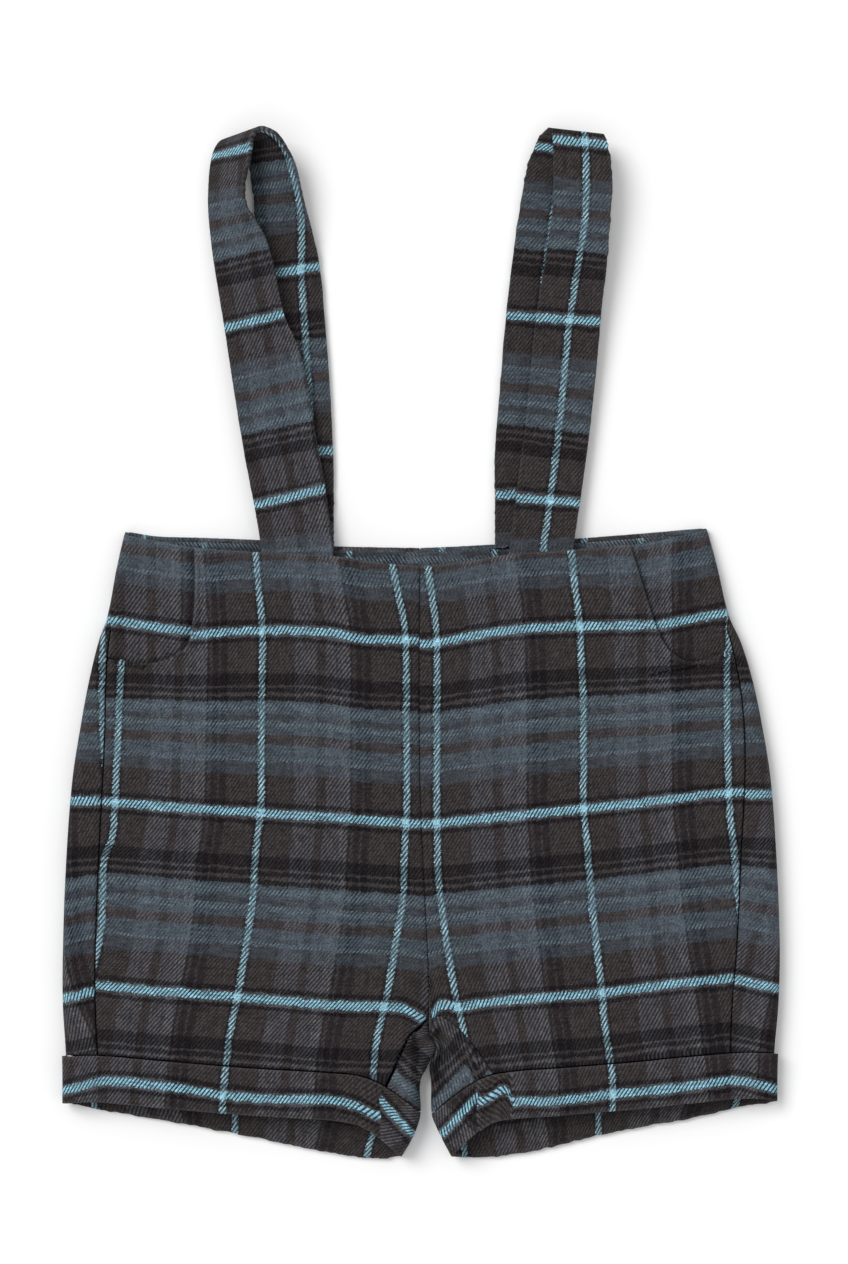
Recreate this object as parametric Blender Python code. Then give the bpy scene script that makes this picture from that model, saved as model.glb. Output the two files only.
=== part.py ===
"""Toddler's plaid flannel shorts with two shoulder straps, laid flat with the front side up.

All sizes below are in millimetres. X runs to the right, Y up towards the straps and Z up from the
surface the garment lies on. Left and right are those of someone looking down at the front.
"out" is the distance from the garment's middle line towards either side seam.
"""
import bisect
import functools
import math

import bmesh
import bpy
import numpy as np

MM = 0.001

# Cloth
WALL = 1.4              # brushed flannel of the panels, with its nap
FACING_WALL = 1.1       # the pocket and waist facings
CUFF_WALL = 2.4         # the cuff is a doubled band
STRAP_WALL = 2.4        # and so is each strap
SEAM_GAP = 0.3          # between pieces that are sewn together
CUFF_GAP = 0.5          # between a leg and its cuff, whose meshes differ
INSEAM_GAP = 0.5        # along the curved inseams
SIDE_GAP = 0.5          # and along the side seams

# Folds along the sides and between the legs
INNER_RADIUS = 5.0
LEG_GAP = 1.0           # between the two legs where they touch
INNER_HALF_HEIGHT = 5.0
CROTCH_Y = -157.0       # where the two front panels and the inseams meet
CROTCH_LIP_TOP = -146.0  # where the back's crotch seam starts to rise from the floor
CROTCH_DIP_TOP = -147.0  # where the front starts to dip towards the crotch
CROTCH_DIP = 0.5

# Cuffs
CUFF_PROUD = 1.6        # how far the cuff stands out past the leg at the side
CUFF_RISE = 1.0         # and above it on top

# Facings
BACK_FACING_DEPTH = 26.0
BACK_FACING_INSET = 1.6
BACK_FACING_REACH = 117.0
POCKET_DROP = 2.1       # how far the facing lies below the front panel's outer face
POCKET_DROP_OVER = 7.0  # and over what distance from the side seam it sinks so far

# Outer edge of the laid garment, down the page, and how far the back panel wraps over to the
# side seam that shows on the front. "fold" is the rounded side's height and "radius" its reach.
#          y      left edge  left wrap  right edge  right wrap  fold   radius
SIDES = ((50.0,    126.2,     2.4,       122.3,      2.4,       6.0,   2.2),
         (32.0,    130.4,     2.5,       127.2,      2.4,       7.0,   2.3),
         (10.0,    134.7,     3.2,       132.7,      3.2,       8.0,   2.6),
         (1.0,     137.9,     4.7,       136.9,      4.4,       8.6,   3.0),
         (-16.0,   142.1,     7.5,       142.2,      6.0,       9.2,   4.0),
         (-37.0,   146.0,     11.0,      146.6,      8.2,       9.6,   5.0),
         (-57.0,   149.1,     13.3,      149.8,      11.2,      10.0,  5.0),
         (-89.0,   151.7,     14.3,      152.3,      15.3,      10.0,  5.0),
         (-133.0,  153.4,     14.3,      153.9,      19.0,      10.0,  5.0),
         (-155.0,  153.4,     14.2,      153.3,      20.2,      10.0,  5.0),
         (-177.0,  152.1,     14.0,      151.5,      19.0,      9.6,   5.0),
         (-200.0,  152.0,     14.0,      151.2,      18.5,      9.2,   5.0))

# Height of the top surface between the side fold and the middle
#            y      side   leg    middle
HEIGHTS = ((50.0,   6.0,   9.6,   9.2),
           (10.0,   8.0,   10.6,  9.8),
           (-60.0,  10.0,  11.6,  10.4),
           (-130.0, 10.0,  12.2,  10.8),
           (-180.0, 9.6,   11.8,  10.4),
           (-222.0, 9.2,   11.4,  11.6))

# Middle seam of the body, then the inner fold of each leg: x at each height
#          y       left    right
INNER = ((50.0,    -0.4,   -0.4),
         (-60.0,   -0.3,   -0.3),
         (-98.0,   1.2,    1.2),
         (-136.0,  3.1,    3.1),
         (-157.0,  4.0,    4.0),
         (-182.0,  2.9,    2.9),
         (-187.0,  0.6,    3.8),
         (-203.0,  0.3,    4.4),
         (-208.0,  -1.2,   6.4),
         (-213.0,  -3.4,   8.8),
         (-222.0,  -8.8,   13.6))

# Inseam as it shows on the front: x at each height
#           y       left    right
INSEAM = ((-157.0,  3.2,    4.8),
          (-160.0,  1.0,    9.5),
          (-164.0,  -1.8,   15.0),
          (-169.0,  -5.2,   20.0),
          (-176.0,  -8.6,   25.4),
          (-182.0,  -10.8,  29.4),
          (-188.0,  -13.6,  33.4),
          (-196.0,  -17.6,  37.6),
          (-204.0,  -20.5,  40.6))

# Waist edges: y at each distance out
#          out     left front  left back  right front  right back
WAIST = ((128.0,   46.4,       47.6,      49.4,        49.2),
         (114.0,   43.6,       45.3,      46.4,        48.1),
         (97.0,    40.6,       44.7,      42.9,        46.6),
         (65.0,    38.5,       43.4,      39.7,        44.1),
         (39.0,    37.2,       41.1,      37.8,        42.2),
         (18.0,    34.2,       40.5,      34.5,        41.0),
         (0.0,     32.5,       40.2,      32.5,        40.2))

# Hems of the front and the back of each leg: y at each distance out
#        out     left front  left back  right front  right back
HEMS = ((153.0,  -197.0,     -197.6,    -195.6,      -197.2),
        (140.0,  -196.4,     -200.2,    -194.8,      -198.9),
        (115.0,  -198.4,     -204.4,    -196.8,      -204.4),
        (95.0,   -200.1,     -208.0,    -198.9,      -208.0),
        (75.0,   -201.6,     -211.8,    -200.5,      -212.0),
        (55.0,   -202.8,     -216.0,    -202.2,      -216.9),
        (40.0,   -203.8,     -218.9,    -203.2,      -219.7),
        (32.0,   -204.8,     -220.2,    -204.6,      -220.6),
        (26.0,   -206.4,     -221.0,    -207.6,      -221.0),
        (20.0,   -209.8,     -221.5,    -212.4,      -221.3),
        (14.0,   -214.6,     -221.5,    -217.8,      -221.5),
        (8.0,    -219.6,     -220.8,    -222.0,      -221.6))

# Upper edges of the cuffs, likewise
#             out     left front  left back  right front  right back
CUFF_TOPS = ((153.0,  -176.7,     -177.3,    -175.3,      -176.9),
             (140.0,  -176.3,     -179.9,    -175.0,      -178.8),
             (115.0,  -178.1,     -184.1,    -176.7,      -184.1),
             (95.0,   -179.8,     -187.7,    -178.6,      -187.7),
             (75.0,   -181.3,     -191.5,    -180.2,      -191.7),
             (55.0,   -182.5,     -195.7,    -181.7,      -196.4),
             (40.0,   -183.5,     -198.4,    -182.9,      -199.0),
             (28.0,   -184.6,     -200.0,    -185.2,      -200.4),
             (20.0,   -187.0,     -200.8,    -189.4,      -201.0),
             (12.0,   -191.6,     -201.2,    -195.2,      -201.4),
             (6.0,    -196.0,     -201.4,    -200.0,      -201.6),
             (-1.0,   -201.2,     -201.6,    -205.0,      -201.8))

# Pocket opening of each front panel, from the waist to the side seam
#           left out  left y   right out  right y
POCKET = ((96.9,      40.7,    89.7,      41.4),
          (96.6,      22.6,    94.6,      25.2),
          (97.5,      9.2,     98.3,      13.5),
          (100.1,     -1.1,    101.5,     4.5),
          (104.8,     -5.4,    105.9,     -3.2),
          (113.0,     -8.4,    115.0,     -9.0),
          (125.5,     -8.9,    124.6,     -8.8),
          (133.4,     -6.8,    133.0,     -4.5))

# Edge of the pocket facing hidden under the front panel, from the waist down
#                   left out  left y   right out  right y
FACING_HIDDEN = ((87.5,      40.0,    81.5,      40.4),
                 (88.0,      22.0,    86.0,      22.5),
                 (89.0,      8.0,     90.0,      10.0),
                 (92.8,      -6.0,    93.8,      1.0),
                 (101.0,     -13.0,   99.5,      -9.0),
                 (112.0,     -16.0,   112.0,     -16.0))

# Lower edge of the pocket facing, from the side seam inwards
#                  left out  left y   right out  right y
FACING_FOOT = ((133.2,      -4.9,    132.6,      -2.4),
               (129.5,      -6.7,    129.0,      -5.4),
               (125.0,      -7.4,    125.0,      -7.0),
               (119.0,      -12.0,   119.0,      -12.0),
               (112.0,      -16.0,   112.0,      -16.0))

# Largest soft folds of the top surface: a trough along a line, all in plan
#          from x    from y   to x     to y    depth  half width
FOLDS = ((-0.3,      34.0,    0.2,     -74.0,  0.8,   3.5),
         (0.7,       -88.0,   4.0,     -152.0, 1.1,   4.5),
         (1.0,       -150.0,  -31.0,   -137.0, 1.3,   6.0),
         (7.0,       -150.0,  44.0,    -134.0, 1.2,   6.5),
         (-147.0,    -126.0,  -139.0,  -158.0, 0.9,   4.0),
         (-94.0,     6.0,     -78.0,   -6.0,   0.9,   5.0),
         (92.0,      -18.0,   76.0,    -28.0,  0.8,   6.0),
         (-60.0,     -150.0,  -96.0,   -172.0, 0.8,   9.0),
         (72.0,      -148.0,  104.0,   -174.0, 0.8,   9.0))

# Each strap is one doubled band. It is caught between the back panel and its facing, lies on the
# floor, turns over at the top and comes down on top of itself to the front waist. These are its two
# edges on its outer face.
#                 left edge x, y, z          right edge x, y, z
STRAP_LEFT = ((-66.6,  42.3,  1.7,    -37.4,  39.9,   1.7),
              (-66.7,  45.5,  1.7,    -37.4,  43.2,   1.7),
              (-66.8,  52.0,  0.9,    -37.4,  50.5,   0.9),
              (-67.0,  62.0,  0.0,    -37.4,  61.5,   0.0),
              (-67.2,  82.0,  0.0,    -37.7,  82.8,   0.0),
              (-69.4,  119.0, 0.0,    -39.9,  121.5,  0.0),
              (-71.6,  156.0, 0.0,    -43.3,  160.2,  0.5),
              (-70.9,  173.5, 0.0,    -46.8,  177.5,  4.0),
              (-70.6,  188.0, 0.2,    -50.2,  190.5,  8.5),
              (-71.8,  199.8, 0.6,    -53.2,  204.0,  12.0),
              (-73.6,  209.6, 1.2,    -56.8,  212.3,  14.0),
              (-78.0,  215.2, 2.2,    -62.0,  219.6,  15.6),
              (-84.5,  216.6, 3.4,    -69.0,  222.2,  17.0),
              (-88.4,  213.0, 4.4,    -72.8,  218.2,  17.8),
              (-90.6,  205.2, 4.6,    -74.4,  208.6,  17.6),
              (-91.3,  183.8, 4.6,    -72.3,  187.4,  14.8),
              (-89.2,  164.6, 4.8,    -65.8,  170.4,  11.4),
              (-84.6,  136.2, 5.2,    -59.2,  142.2,  8.6),
              (-81.4,  115.2, 5.6,    -51.2,  122.4,  6.8),
              (-76.2,  83.0,  5.8,    -45.2,  89.6,   6.2),
              (-70.9,  55.0,  6.3,    -40.4,  61.6,   6.4),
              (-68.3,  37.6,  7.2,    -37.7,  38.4,   7.2),
              (-67.9,  29.6,  7.4,    -37.9,  29.8,   7.4))

STRAP_RIGHT = ((31.9,  40.5,  1.7,    60.6,   42.5,   1.7),
               (31.9,  43.8,  1.7,    60.7,   45.8,   1.7),
               (31.9,  51.0,  0.9,    60.8,   52.5,   0.9),
               (31.9,  61.5,  0.0,    61.0,   62.0,   0.0),
               (31.9,  82.4,  0.0,    61.1,   81.0,   0.0),
               (34.1,  109.9, 0.0,    63.4,   108.2,  0.0),
               (37.5,  148.2, 0.0,    66.8,   146.0,  0.0),
               (41.8,  181.2, 0.0,    70.2,   178.4,  0.4),
               (45.3,  201.8, 0.6,    72.4,   198.6,  1.6),
               (48.4,  211.6, 1.8,    74.8,   208.4,  4.4),
               (51.4,  217.6, 3.6,    76.6,   214.6,  8.0),
               (55.2,  221.4, 6.4,    78.2,   218.8,  11.4),
               (56.6,  218.0, 8.8,    79.9,   215.6,  14.2),
               (57.0,  204.8, 9.2,    81.8,   202.6,  15.2),
               (56.6,  186.0, 8.6,    81.4,   183.8,  13.6),
               (53.8,  166.2, 7.4,    79.9,   163.6,  11.0),
               (49.6,  140.4, 6.4,    77.3,   138.7,  8.4),
               (47.8,  123.2, 6.0,    75.8,   120.6,  7.0),
               (44.8,  92.2,  5.8,    72.4,   88.8,   6.0),
               (41.0,  62.6,  6.2,    68.5,   60.4,   6.3),
               (38.0,  38.4,  7.2,    65.5,   40.0,   7.2),
               (37.6,  29.8,  7.4,    64.8,   30.4,   7.4))

# Mesh densities; the body rows are shares of the way from the waist to the crotch, and the leg
# rows of the way from there to the cuff
FRONT_COLUMNS = 14
POCKET_ROWS = 7
SEAM_ROWS = 16
BODY_ROWS = (0.0, 0.05, 0.1, 0.15, 0.2, 0.25, 0.31, 0.38, 0.46, 0.54, 0.63, 0.72, 0.81, 0.88,
             0.94, 0.973, 0.997)
LEG_ROWS = (0.0, 0.12, 0.28, 0.48, 0.72, 1.0)
BACK_COLUMNS = 30
FACING_COLUMNS = 8
FACING_ROWS = 8
CUFF_COLUMNS = 44
CUFF_ROWS = 3
STRAP_STEPS = 2
STRAP_COLUMNS = 3
CURL_WEIGHT = 4.0       # how much closer columns stand where a section curls up
SETTLE_STEPS = 10       # rounds in which a point's height and its section agree

CUFF_TOP_STEPS = 12
SHARE_STEP = 0.002      # small steps over which a surface's slope is taken, as a share
SLOPE_STEP = 0.05       # and in millimetres
QUARTER = [math.radians(a) for a in range(0, 91, 10)]

LEFT, RIGHT = "left", "right"
SIGN = {LEFT: -1.0, RIGHT: 1.0}

COLORS = {
    "front": (0.055, 0.058, 0.068),
    "back": (0.050, 0.053, 0.062),
    "facing": (0.065, 0.080, 0.095),
    "cuff": (0.042, 0.043, 0.050),
    "strap": (0.060, 0.062, 0.070),
}


def rise(start, end, value):
    """Smooth step: 0 at start, 1 at end."""
    t = min(max((value - start) / (end - start), 0.0), 1.0)
    return t * t * (3.0 - 2.0 * t)


def along(keys, values, key):
    """Smooth curve through values at rising keys, read at one key."""
    if key <= keys[0]:
        return values[0]
    if key >= keys[-1]:
        return values[-1]
    i = bisect.bisect_left(keys, key) - 1

    def slope(k):
        k = min(max(k, 0), len(keys) - 2)
        return (values[k + 1] - values[k]) / (keys[k + 1] - keys[k])

    width = keys[i + 1] - keys[i]
    start = 0.5 * (slope(i - 1) + slope(i))
    end = 0.5 * (slope(i) + slope(i + 1))
    t = (key - keys[i]) / width
    return (values[i] * (2 * t ** 3 - 3 * t ** 2 + 1) + values[i + 1] * (3 * t ** 2 - 2 * t ** 3)
            + width * (start * (t ** 3 - 2 * t ** 2 + t) + end * (t ** 3 - t ** 2)))


def curve(table, index):
    """A function that reads one column of a table at any key of its first column."""
    rows = sorted(table)
    keys, values = [row[0] for row in rows], [row[index] for row in rows]

    @functools.lru_cache(maxsize=4096)
    def value(key):
        return along(keys, values, key)

    return value


def column(rows, index):
    return [row[index] for row in rows]


EDGE = {LEFT: curve(SIDES, 1), RIGHT: curve(SIDES, 3)}
WRAP = {LEFT: curve(SIDES, 2), RIGHT: curve(SIDES, 4)}
FOLD_HEIGHT, FOLD_RADIUS = curve(SIDES, 5), curve(SIDES, 6)
HEIGHT_LOW, HEIGHT_LEG, HEIGHT_MIDDLE = (curve(HEIGHTS, k) for k in (1, 2, 3))
INNER_X = {LEFT: curve(INNER, 1), RIGHT: curve(INNER, 2)}
INSEAM_X = {LEFT: curve(INSEAM, 1), RIGHT: curve(INSEAM, 2)}
FRONT_WAIST = {LEFT: curve(WAIST, 1), RIGHT: curve(WAIST, 3)}
BACK_WAIST = {LEFT: curve(WAIST, 2), RIGHT: curve(WAIST, 4)}
FRONT_HEM = {LEFT: curve(HEMS, 1), RIGHT: curve(HEMS, 3)}
BACK_HEM = {LEFT: curve(HEMS, 2), RIGHT: curve(HEMS, 4)}
FRONT_CUFF_TOP = {LEFT: curve(CUFF_TOPS, 1), RIGHT: curve(CUFF_TOPS, 3)}
BACK_CUFF_TOP = {LEFT: curve(CUFF_TOPS, 2), RIGHT: curve(CUFF_TOPS, 4)}


def seam_out(side, y):
    return EDGE[side](y) - WRAP[side](y)


@functools.lru_cache(maxsize=4096)
def inner_out(side, y):
    """Middle seam or inner leg fold, as a distance out, with half of the gap between the halves."""
    gap = SEAM_GAP + (LEG_GAP - SEAM_GAP) * rise(CROTCH_LIP_TOP + 10.0, CROTCH_LIP_TOP, y)
    return SIGN[side] * INNER_X[side](y) + gap / 2


def inseam_out(side, y):
    return SIGN[side] * INSEAM_X[side](y)


def cuff_y(side, out, high, share):
    """Height on the page in a cuff, from its upper edge at share 0 to its hem at 1. high is 0 on
    the back of the leg, 1 on its front and between them on the folds."""
    top = (1.0 - high) * BACK_CUFF_TOP[side](out) + high * FRONT_CUFF_TOP[side](out)
    hem = (1.0 - high) * BACK_HEM[side](out) + high * FRONT_HEM[side](out)
    return (1.0 - share) * top + share * hem


def fold_depth(x, y):
    """Depth of the soft folds at a point of the top surface."""
    depth = 0.0
    for x0, y0, x1, y1, deep, half in FOLDS:
        dx, dy = x1 - x0, y1 - y0
        t = min(max(((x - x0) * dx + (y - y0) * dy) / (dx * dx + dy * dy), 0.0), 1.0)
        away = math.hypot(x - x0 - t * dx, y - y0 - t * dy)
        depth += deep * math.exp(-(away / half) ** 2)
    return depth


def crown(side, out, y):
    """Height of the top surface before its edges are rounded."""
    inner = inner_out(side, y)
    share = min(max((out - inner) / (EDGE[side](y) - inner), 0.0), 1.0)
    low, leg, middle = HEIGHT_LOW(y), HEIGHT_LEG(y), HEIGHT_MIDDLE(y)
    if share < 0.45:
        height = middle + (leg - middle) * rise(0.0, 0.45, share)
    else:
        height = leg + (low - leg) * rise(0.45, 1.0, share)
    return height - fold_depth(SIGN[side] * out, y)


def rounding(distance, radius):
    """0 at a fold's outermost line, 1 where the fold meets the flat surface."""
    t = min(max(1.0 - distance / radius, 0.0), 1.0)
    return math.sqrt(max(1.0 - t * t, 0.0))


def top_height(side, out, y):
    """Height of the garment's top surface, rounded down along the side and between the legs."""
    height = crown(side, out, y)
    half = 0.5 * FOLD_HEIGHT(y)
    height = half + (height - half) * rounding(EDGE[side](y) - out, FOLD_RADIUS(y))
    inner = rounding(out - inner_out(side, y), INNER_RADIUS)
    if y < CROTCH_Y:
        weight = 1.0
    else:
        weight = CROTCH_DIP * rise(CROTCH_DIP_TOP, CROTCH_Y, y)
    rounded = INNER_HALF_HEIGHT + (height - INNER_HALF_HEIGHT) * inner
    return height + weight * (rounded - height)


def back_section(side, y):
    """The back panel's outer line at one height: (out, z) from its inner edge to the side seam."""
    inner, edge, radius = inner_out(side, y), EDGE[side](y), FOLD_RADIUS(y)
    points = []
    if y < CROTCH_Y:
        start = max(inseam_out(side, y) - inner, 2 * SEAM_GAP) - INSEAM_GAP / 2
        for a in QUARTER[::-1]:
            away = start * (1.0 - math.cos(a))
            points.append((inner + away, top_height(side, inner + away, y)))
        lip, lip_radius = INNER_HALF_HEIGHT, INNER_RADIUS
    else:
        share = rise(CROTCH_LIP_TOP, CROTCH_Y, y)
        lip, lip_radius = INNER_HALF_HEIGHT * share, INNER_RADIUS * share
    for a in QUARTER[::-1]:
        points.append((inner + lip_radius * (1.0 - math.sin(a)), lip * (1.0 - math.cos(a))))
    half = 0.5 * FOLD_HEIGHT(y)
    for a in QUARTER:
        points.append((edge - radius * (1.0 - math.sin(a)), half * (1.0 - math.cos(a))))
    wrapped = WRAP[side](y) - SIDE_GAP / 2
    for a in QUARTER:
        away = wrapped * (1.0 - math.cos(a))
        points.append((edge - away, top_height(side, edge - away, y)))
    return points


def cuff_section(side, y):
    """A leg's closed outer line at one height, with the cuff's own rise: (out, z) round the leg."""
    inner, edge = inner_out(side, y), EDGE[side](y) + CUFF_PROUD
    half, radius = 0.5 * (FOLD_HEIGHT(y) + CUFF_RISE), FOLD_RADIUS(y)
    inner_half = INNER_HALF_HEIGHT + 0.5 * CUFF_RISE

    def top(out):
        height = crown(side, min(out, edge - CUFF_PROUD), y) + CUFF_RISE
        height = half + (height - half) * rounding(edge - out, radius)
        return inner_half + (height - inner_half) * rounding(out - inner, INNER_RADIUS)

    points = []
    for a in QUARTER[::-1]:
        points.append((inner + INNER_RADIUS * (1.0 - math.sin(a)), inner_half * (1.0 - math.cos(a))))
    for a in QUARTER:
        points.append((edge - radius * (1.0 - math.sin(a)), half * (1.0 - math.cos(a))))
    for a in QUARTER:
        out = edge - radius * (1.0 - math.cos(a))
        points.append((out, top(out)))
    for k in range(1, CUFF_TOP_STEPS):
        out = edge - radius + (inner + INNER_RADIUS - edge + radius) * k / CUFF_TOP_STEPS
        points.append((out, top(out)))
    for a in QUARTER[::-1]:
        out = inner + INNER_RADIUS * (1.0 - math.cos(a))
        points.append((out, top(out)))
    return points


def inward(out_step, rise_step):
    """Unit direction into the wall from an outer line that runs with these two small steps."""
    length = math.hypot(out_step, rise_step)
    return rise_step / length, -out_step / length


def below(height, out, y):
    """Direction into the wall, as (out, z), of a top surface given by height(out, y)."""
    slope = (height(out + SLOPE_STEP, y) - height(out - SLOPE_STEP, y)) / (2 * SLOPE_STEP)
    return inward(1.0, slope)


def share_point(points, share):
    """The point at a share of a section's length, where upright stretches count for more, and
    the direction into the wall there: (out, z, inward out, inward z)."""
    lengths = [0.0]
    for (o0, z0), (o1, z1) in zip(points, points[1:]):
        lengths.append(lengths[-1] + math.hypot(o1 - o0, CURL_WEIGHT * (z1 - z0)))
    spots = [share, share - SHARE_STEP, share + SHARE_STEP]
    outs, heights = (np.interp([k * lengths[-1] for k in spots], lengths, column(points, k))
                     for k in (0, 1))
    turned = inward(outs[1] - outs[2], heights[1] - heights[2])
    return float(outs[0]), float(heights[0]), float(turned[0]), float(turned[1])


def curve_points(table, indexes, steps):
    """Smooth curve through the chosen columns of a table, as evenly spaced points."""
    rows = [[row[i] for i in indexes] for row in table]
    keys = [0.0]
    for a, b in zip(rows, rows[1:]):
        keys.append(keys[-1] + math.dist(a, b))
    return [tuple(along(keys, column(rows, k), keys[-1] * step / steps) for k in range(len(indexes)))
            for step in range(steps + 1)]


def collection(name):
    made = bpy.data.collections.new(name)
    bpy.context.scene.collection.children.link(made)
    return made


def fabric(name, color):
    """Plain brushed cotton in the cloth's overall colour."""
    material = bpy.data.materials.new(name)
    material.use_nodes = True
    shader = material.node_tree.nodes["Principled BSDF"]
    shader.inputs["Base Color"].default_value = (*color, 1.0)
    shader.inputs["Roughness"].default_value = 0.9
    shader.inputs["Metallic"].default_value = 0.0
    return material


def cloth_piece(name, columns, rows, place, wall, color, closed=False):
    """A grid of points with its wall. place(s, t), s across and t down, gives a point of the outer
    face and the direction into the wall there. A closed piece is a tube across."""
    across = columns if closed else columns + 1
    bm = bmesh.new()
    outer, inner = [], []
    for row in range(rows + 1):
        placed = [place(k / columns, row / rows) for k in range(across)]
        outer.append([bm.verts.new([MM * at[k] for k in range(3)]) for at in placed])
        inner.append([bm.verts.new([MM * (at[k] + wall * at[k + 3]) for k in range(3)])
                      for at in placed])
    for row in range(rows):
        for k in range(columns):
            after = (k + 1) % across
            for grid, turn in ((outer, 1), (inner, -1)):
                corners = (grid[row][k], grid[row + 1][k], grid[row + 1][after], grid[row][after])
                bm.faces.new(corners[::turn])
    rims = [(outer[0], inner[0], columns), (outer[-1], inner[-1], columns)]
    if not closed:
        rims += [([row[k] for row in outer], [row[k] for row in inner], rows) for k in (0, -1)]
    for first, second, steps in rims:
        for k in range(steps):
            after = (k + 1) % len(first)
            bm.faces.new((first[k], first[after], second[after], second[k]))
    bmesh.ops.recalc_face_normals(bm, faces=bm.faces)
    mesh = bpy.data.meshes.new(name)
    bm.to_mesh(mesh)
    bm.free()
    mesh.shade_smooth()
    piece = bpy.data.objects.new(name, mesh)
    mesh.materials.append(fabric(name, color))
    PARTS.objects.link(piece)
    return piece


def patch(left_edge, right_edge, top_edge, bottom_edge):
    """A surface in plan between four edge functions, each giving (x, y) for a share of 0 to 1."""
    def place(s, t):
        point = []
        for k in (0, 1):
            sides = (1 - s) * left_edge(t)[k] + s * right_edge(t)[k]
            ends = (1 - t) * top_edge(s)[k] + t * bottom_edge(s)[k]
            corners = ((1 - s) * (1 - t) * left_edge(0.0)[k] + s * (1 - t) * right_edge(0.0)[k]
                       + (1 - s) * t * left_edge(1.0)[k] + s * t * right_edge(1.0)[k])
            point.append(sides + ends - corners)
        return point
    return place


def polyline(points):
    """A function that gives the point at a share of a list's steps."""
    count = len(points) - 1
    keys = [k / count for k in range(count + 1)]
    return lambda share: tuple(float(np.interp(share, keys, column(points, k))) for k in (0, 1))


def front_panel(side):
    """Front of one half: cut away at the pocket, seamed to its twin in the middle."""
    first = 0 if side == LEFT else 2
    pocket = curve_points(POCKET, (first, first + 1), POCKET_ROWS)
    foot_y = cuff_y(side, seam_out(side, -178.0), 1.0, 0.0) + CUFF_GAP / 2
    outer = list(pocket)
    for k in range(1, SEAM_ROWS + 1):
        y = pocket[-1][1] + (foot_y - pocket[-1][1]) * k / SEAM_ROWS
        outer.append((seam_out(side, y) - SIDE_GAP / 2, y))
    top_y = FRONT_WAIST[side](0.0)
    crotch_y = CROTCH_Y + 2 * SEAM_GAP
    body_rows = len(outer) - len(LEG_ROWS)
    inner = []
    for k in range(body_rows + 1):
        y = top_y + (crotch_y - top_y) * k / body_rows
        inner.append((inner_out(side, y), y))
    foot_y = cuff_y(side, inseam_out(side, -186.0), 1.0, 0.0) + CUFF_GAP / 2
    for share in LEG_ROWS[1:]:
        y = CROTCH_Y + (foot_y - CROTCH_Y) * share
        inner.append((max(inseam_out(side, y), inner_out(side, y)) + INSEAM_GAP / 2, y))

    def top(share):
        out = pocket[0][0] + (inner[0][0] - pocket[0][0]) * share
        return out, FRONT_WAIST[side](out)

    def bottom(share):
        out = outer[-1][0] + (inner[-1][0] - outer[-1][0]) * share
        return out, cuff_y(side, out, 1.0, 0.0) + CUFF_GAP / 2

    plan = patch(polyline(outer), polyline(inner), top, bottom)
    height = functools.partial(top_height, side)

    def place(s, t):
        out, y = plan(s, t)
        aside, down = below(height, out, y)
        return SIGN[side] * out, y, height(out, y), SIGN[side] * aside, 0.0, down

    return cloth_piece(f"front_{side}", FRONT_COLUMNS, len(outer) - 1, place, WALL,
                       COLORS["front"])


def pocket_facing(side):
    """Hip piece that shows above the pocket opening; its inner edge lies under the front panel."""
    first = 0 if side == LEFT else 2
    hidden = curve_points(FACING_HIDDEN, (first, first + 1), FACING_ROWS)
    foot = curve_points(FACING_FOOT, (first, first + 1), FACING_ROWS)
    corner_y = FRONT_WAIST[side](seam_out(side, 46.0))
    outer = []
    for k in range(FACING_ROWS):
        y = corner_y + (foot[0][1] - corner_y) * k / FACING_ROWS
        outer.append((seam_out(side, y) - SIDE_GAP / 2, y))
    outer.append(foot[0])

    def top(share):
        out = outer[0][0] + (hidden[0][0] - outer[0][0]) * share
        tuck = hidden[0][1] - FRONT_WAIST[side](hidden[0][0])
        return out, FRONT_WAIST[side](out) + tuck * share ** 2

    plan = patch(polyline(outer), polyline(hidden), top, polyline(foot))

    def height(out, y):
        drop = POCKET_DROP * rise(0.0, POCKET_DROP_OVER, seam_out(side, y) - out)
        return top_height(side, out, y) - drop

    def place(s, t):
        out, y = plan(s, t)
        aside, down = below(height, out, y)
        return SIGN[side] * out, y, height(out, y), SIGN[side] * aside, 0.0, down

    return cloth_piece(f"pocket_facing_{side}", FACING_COLUMNS, FACING_ROWS, place, FACING_WALL,
                       COLORS["facing"])


def back_panel(side):
    """Back of one half: flat on the floor, wrapped over the side and round the inner leg."""
    body_steps, leg_steps = len(BODY_ROWS), len(LEG_ROWS)
    rows = [("body", share) for share in BODY_ROWS] + [("leg", share) for share in LEG_ROWS]

    def place(s, t):
        part, share = rows[round(t * (body_steps + leg_steps - 1))]
        y = BACK_WAIST[side](0.0) if part == "body" else CROTCH_Y - SEAM_GAP
        for _ in range(SETTLE_STEPS):
            out, z, aside, inner = share_point(back_section(side, y), s)
            if part == "body":
                top = BACK_WAIST[side](out)
                y = top + (CROTCH_Y - top) * share
            else:
                high = min(z / crown(side, out, y), 1.0)
                start = CROTCH_Y - SEAM_GAP
                foot = cuff_y(side, out, high, 0.0) + CUFF_GAP / 2
                y = start + (foot - start) * share
        return SIGN[side] * out, y, z, SIGN[side] * aside, 0.0, inner

    return cloth_piece(f"back_{side}", BACK_COLUMNS, len(rows) - 1, place, WALL, COLORS["back"])


def back_waist_facing():
    """Band inside the back waist, which shows above the front's lower edge."""
    def place(s, t):
        x = BACK_FACING_REACH * (2.0 * s - 1.0)
        side = LEFT if x < 0 else RIGHT
        y = BACK_WAIST[side](abs(x)) - BACK_FACING_INSET - BACK_FACING_DEPTH * t
        return x, y, WALL + SEAM_GAP + FACING_WALL, 0.0, 0.0, -1.0

    return cloth_piece("back_waist_facing", 24, 2, place, FACING_WALL, COLORS["facing"])


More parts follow.
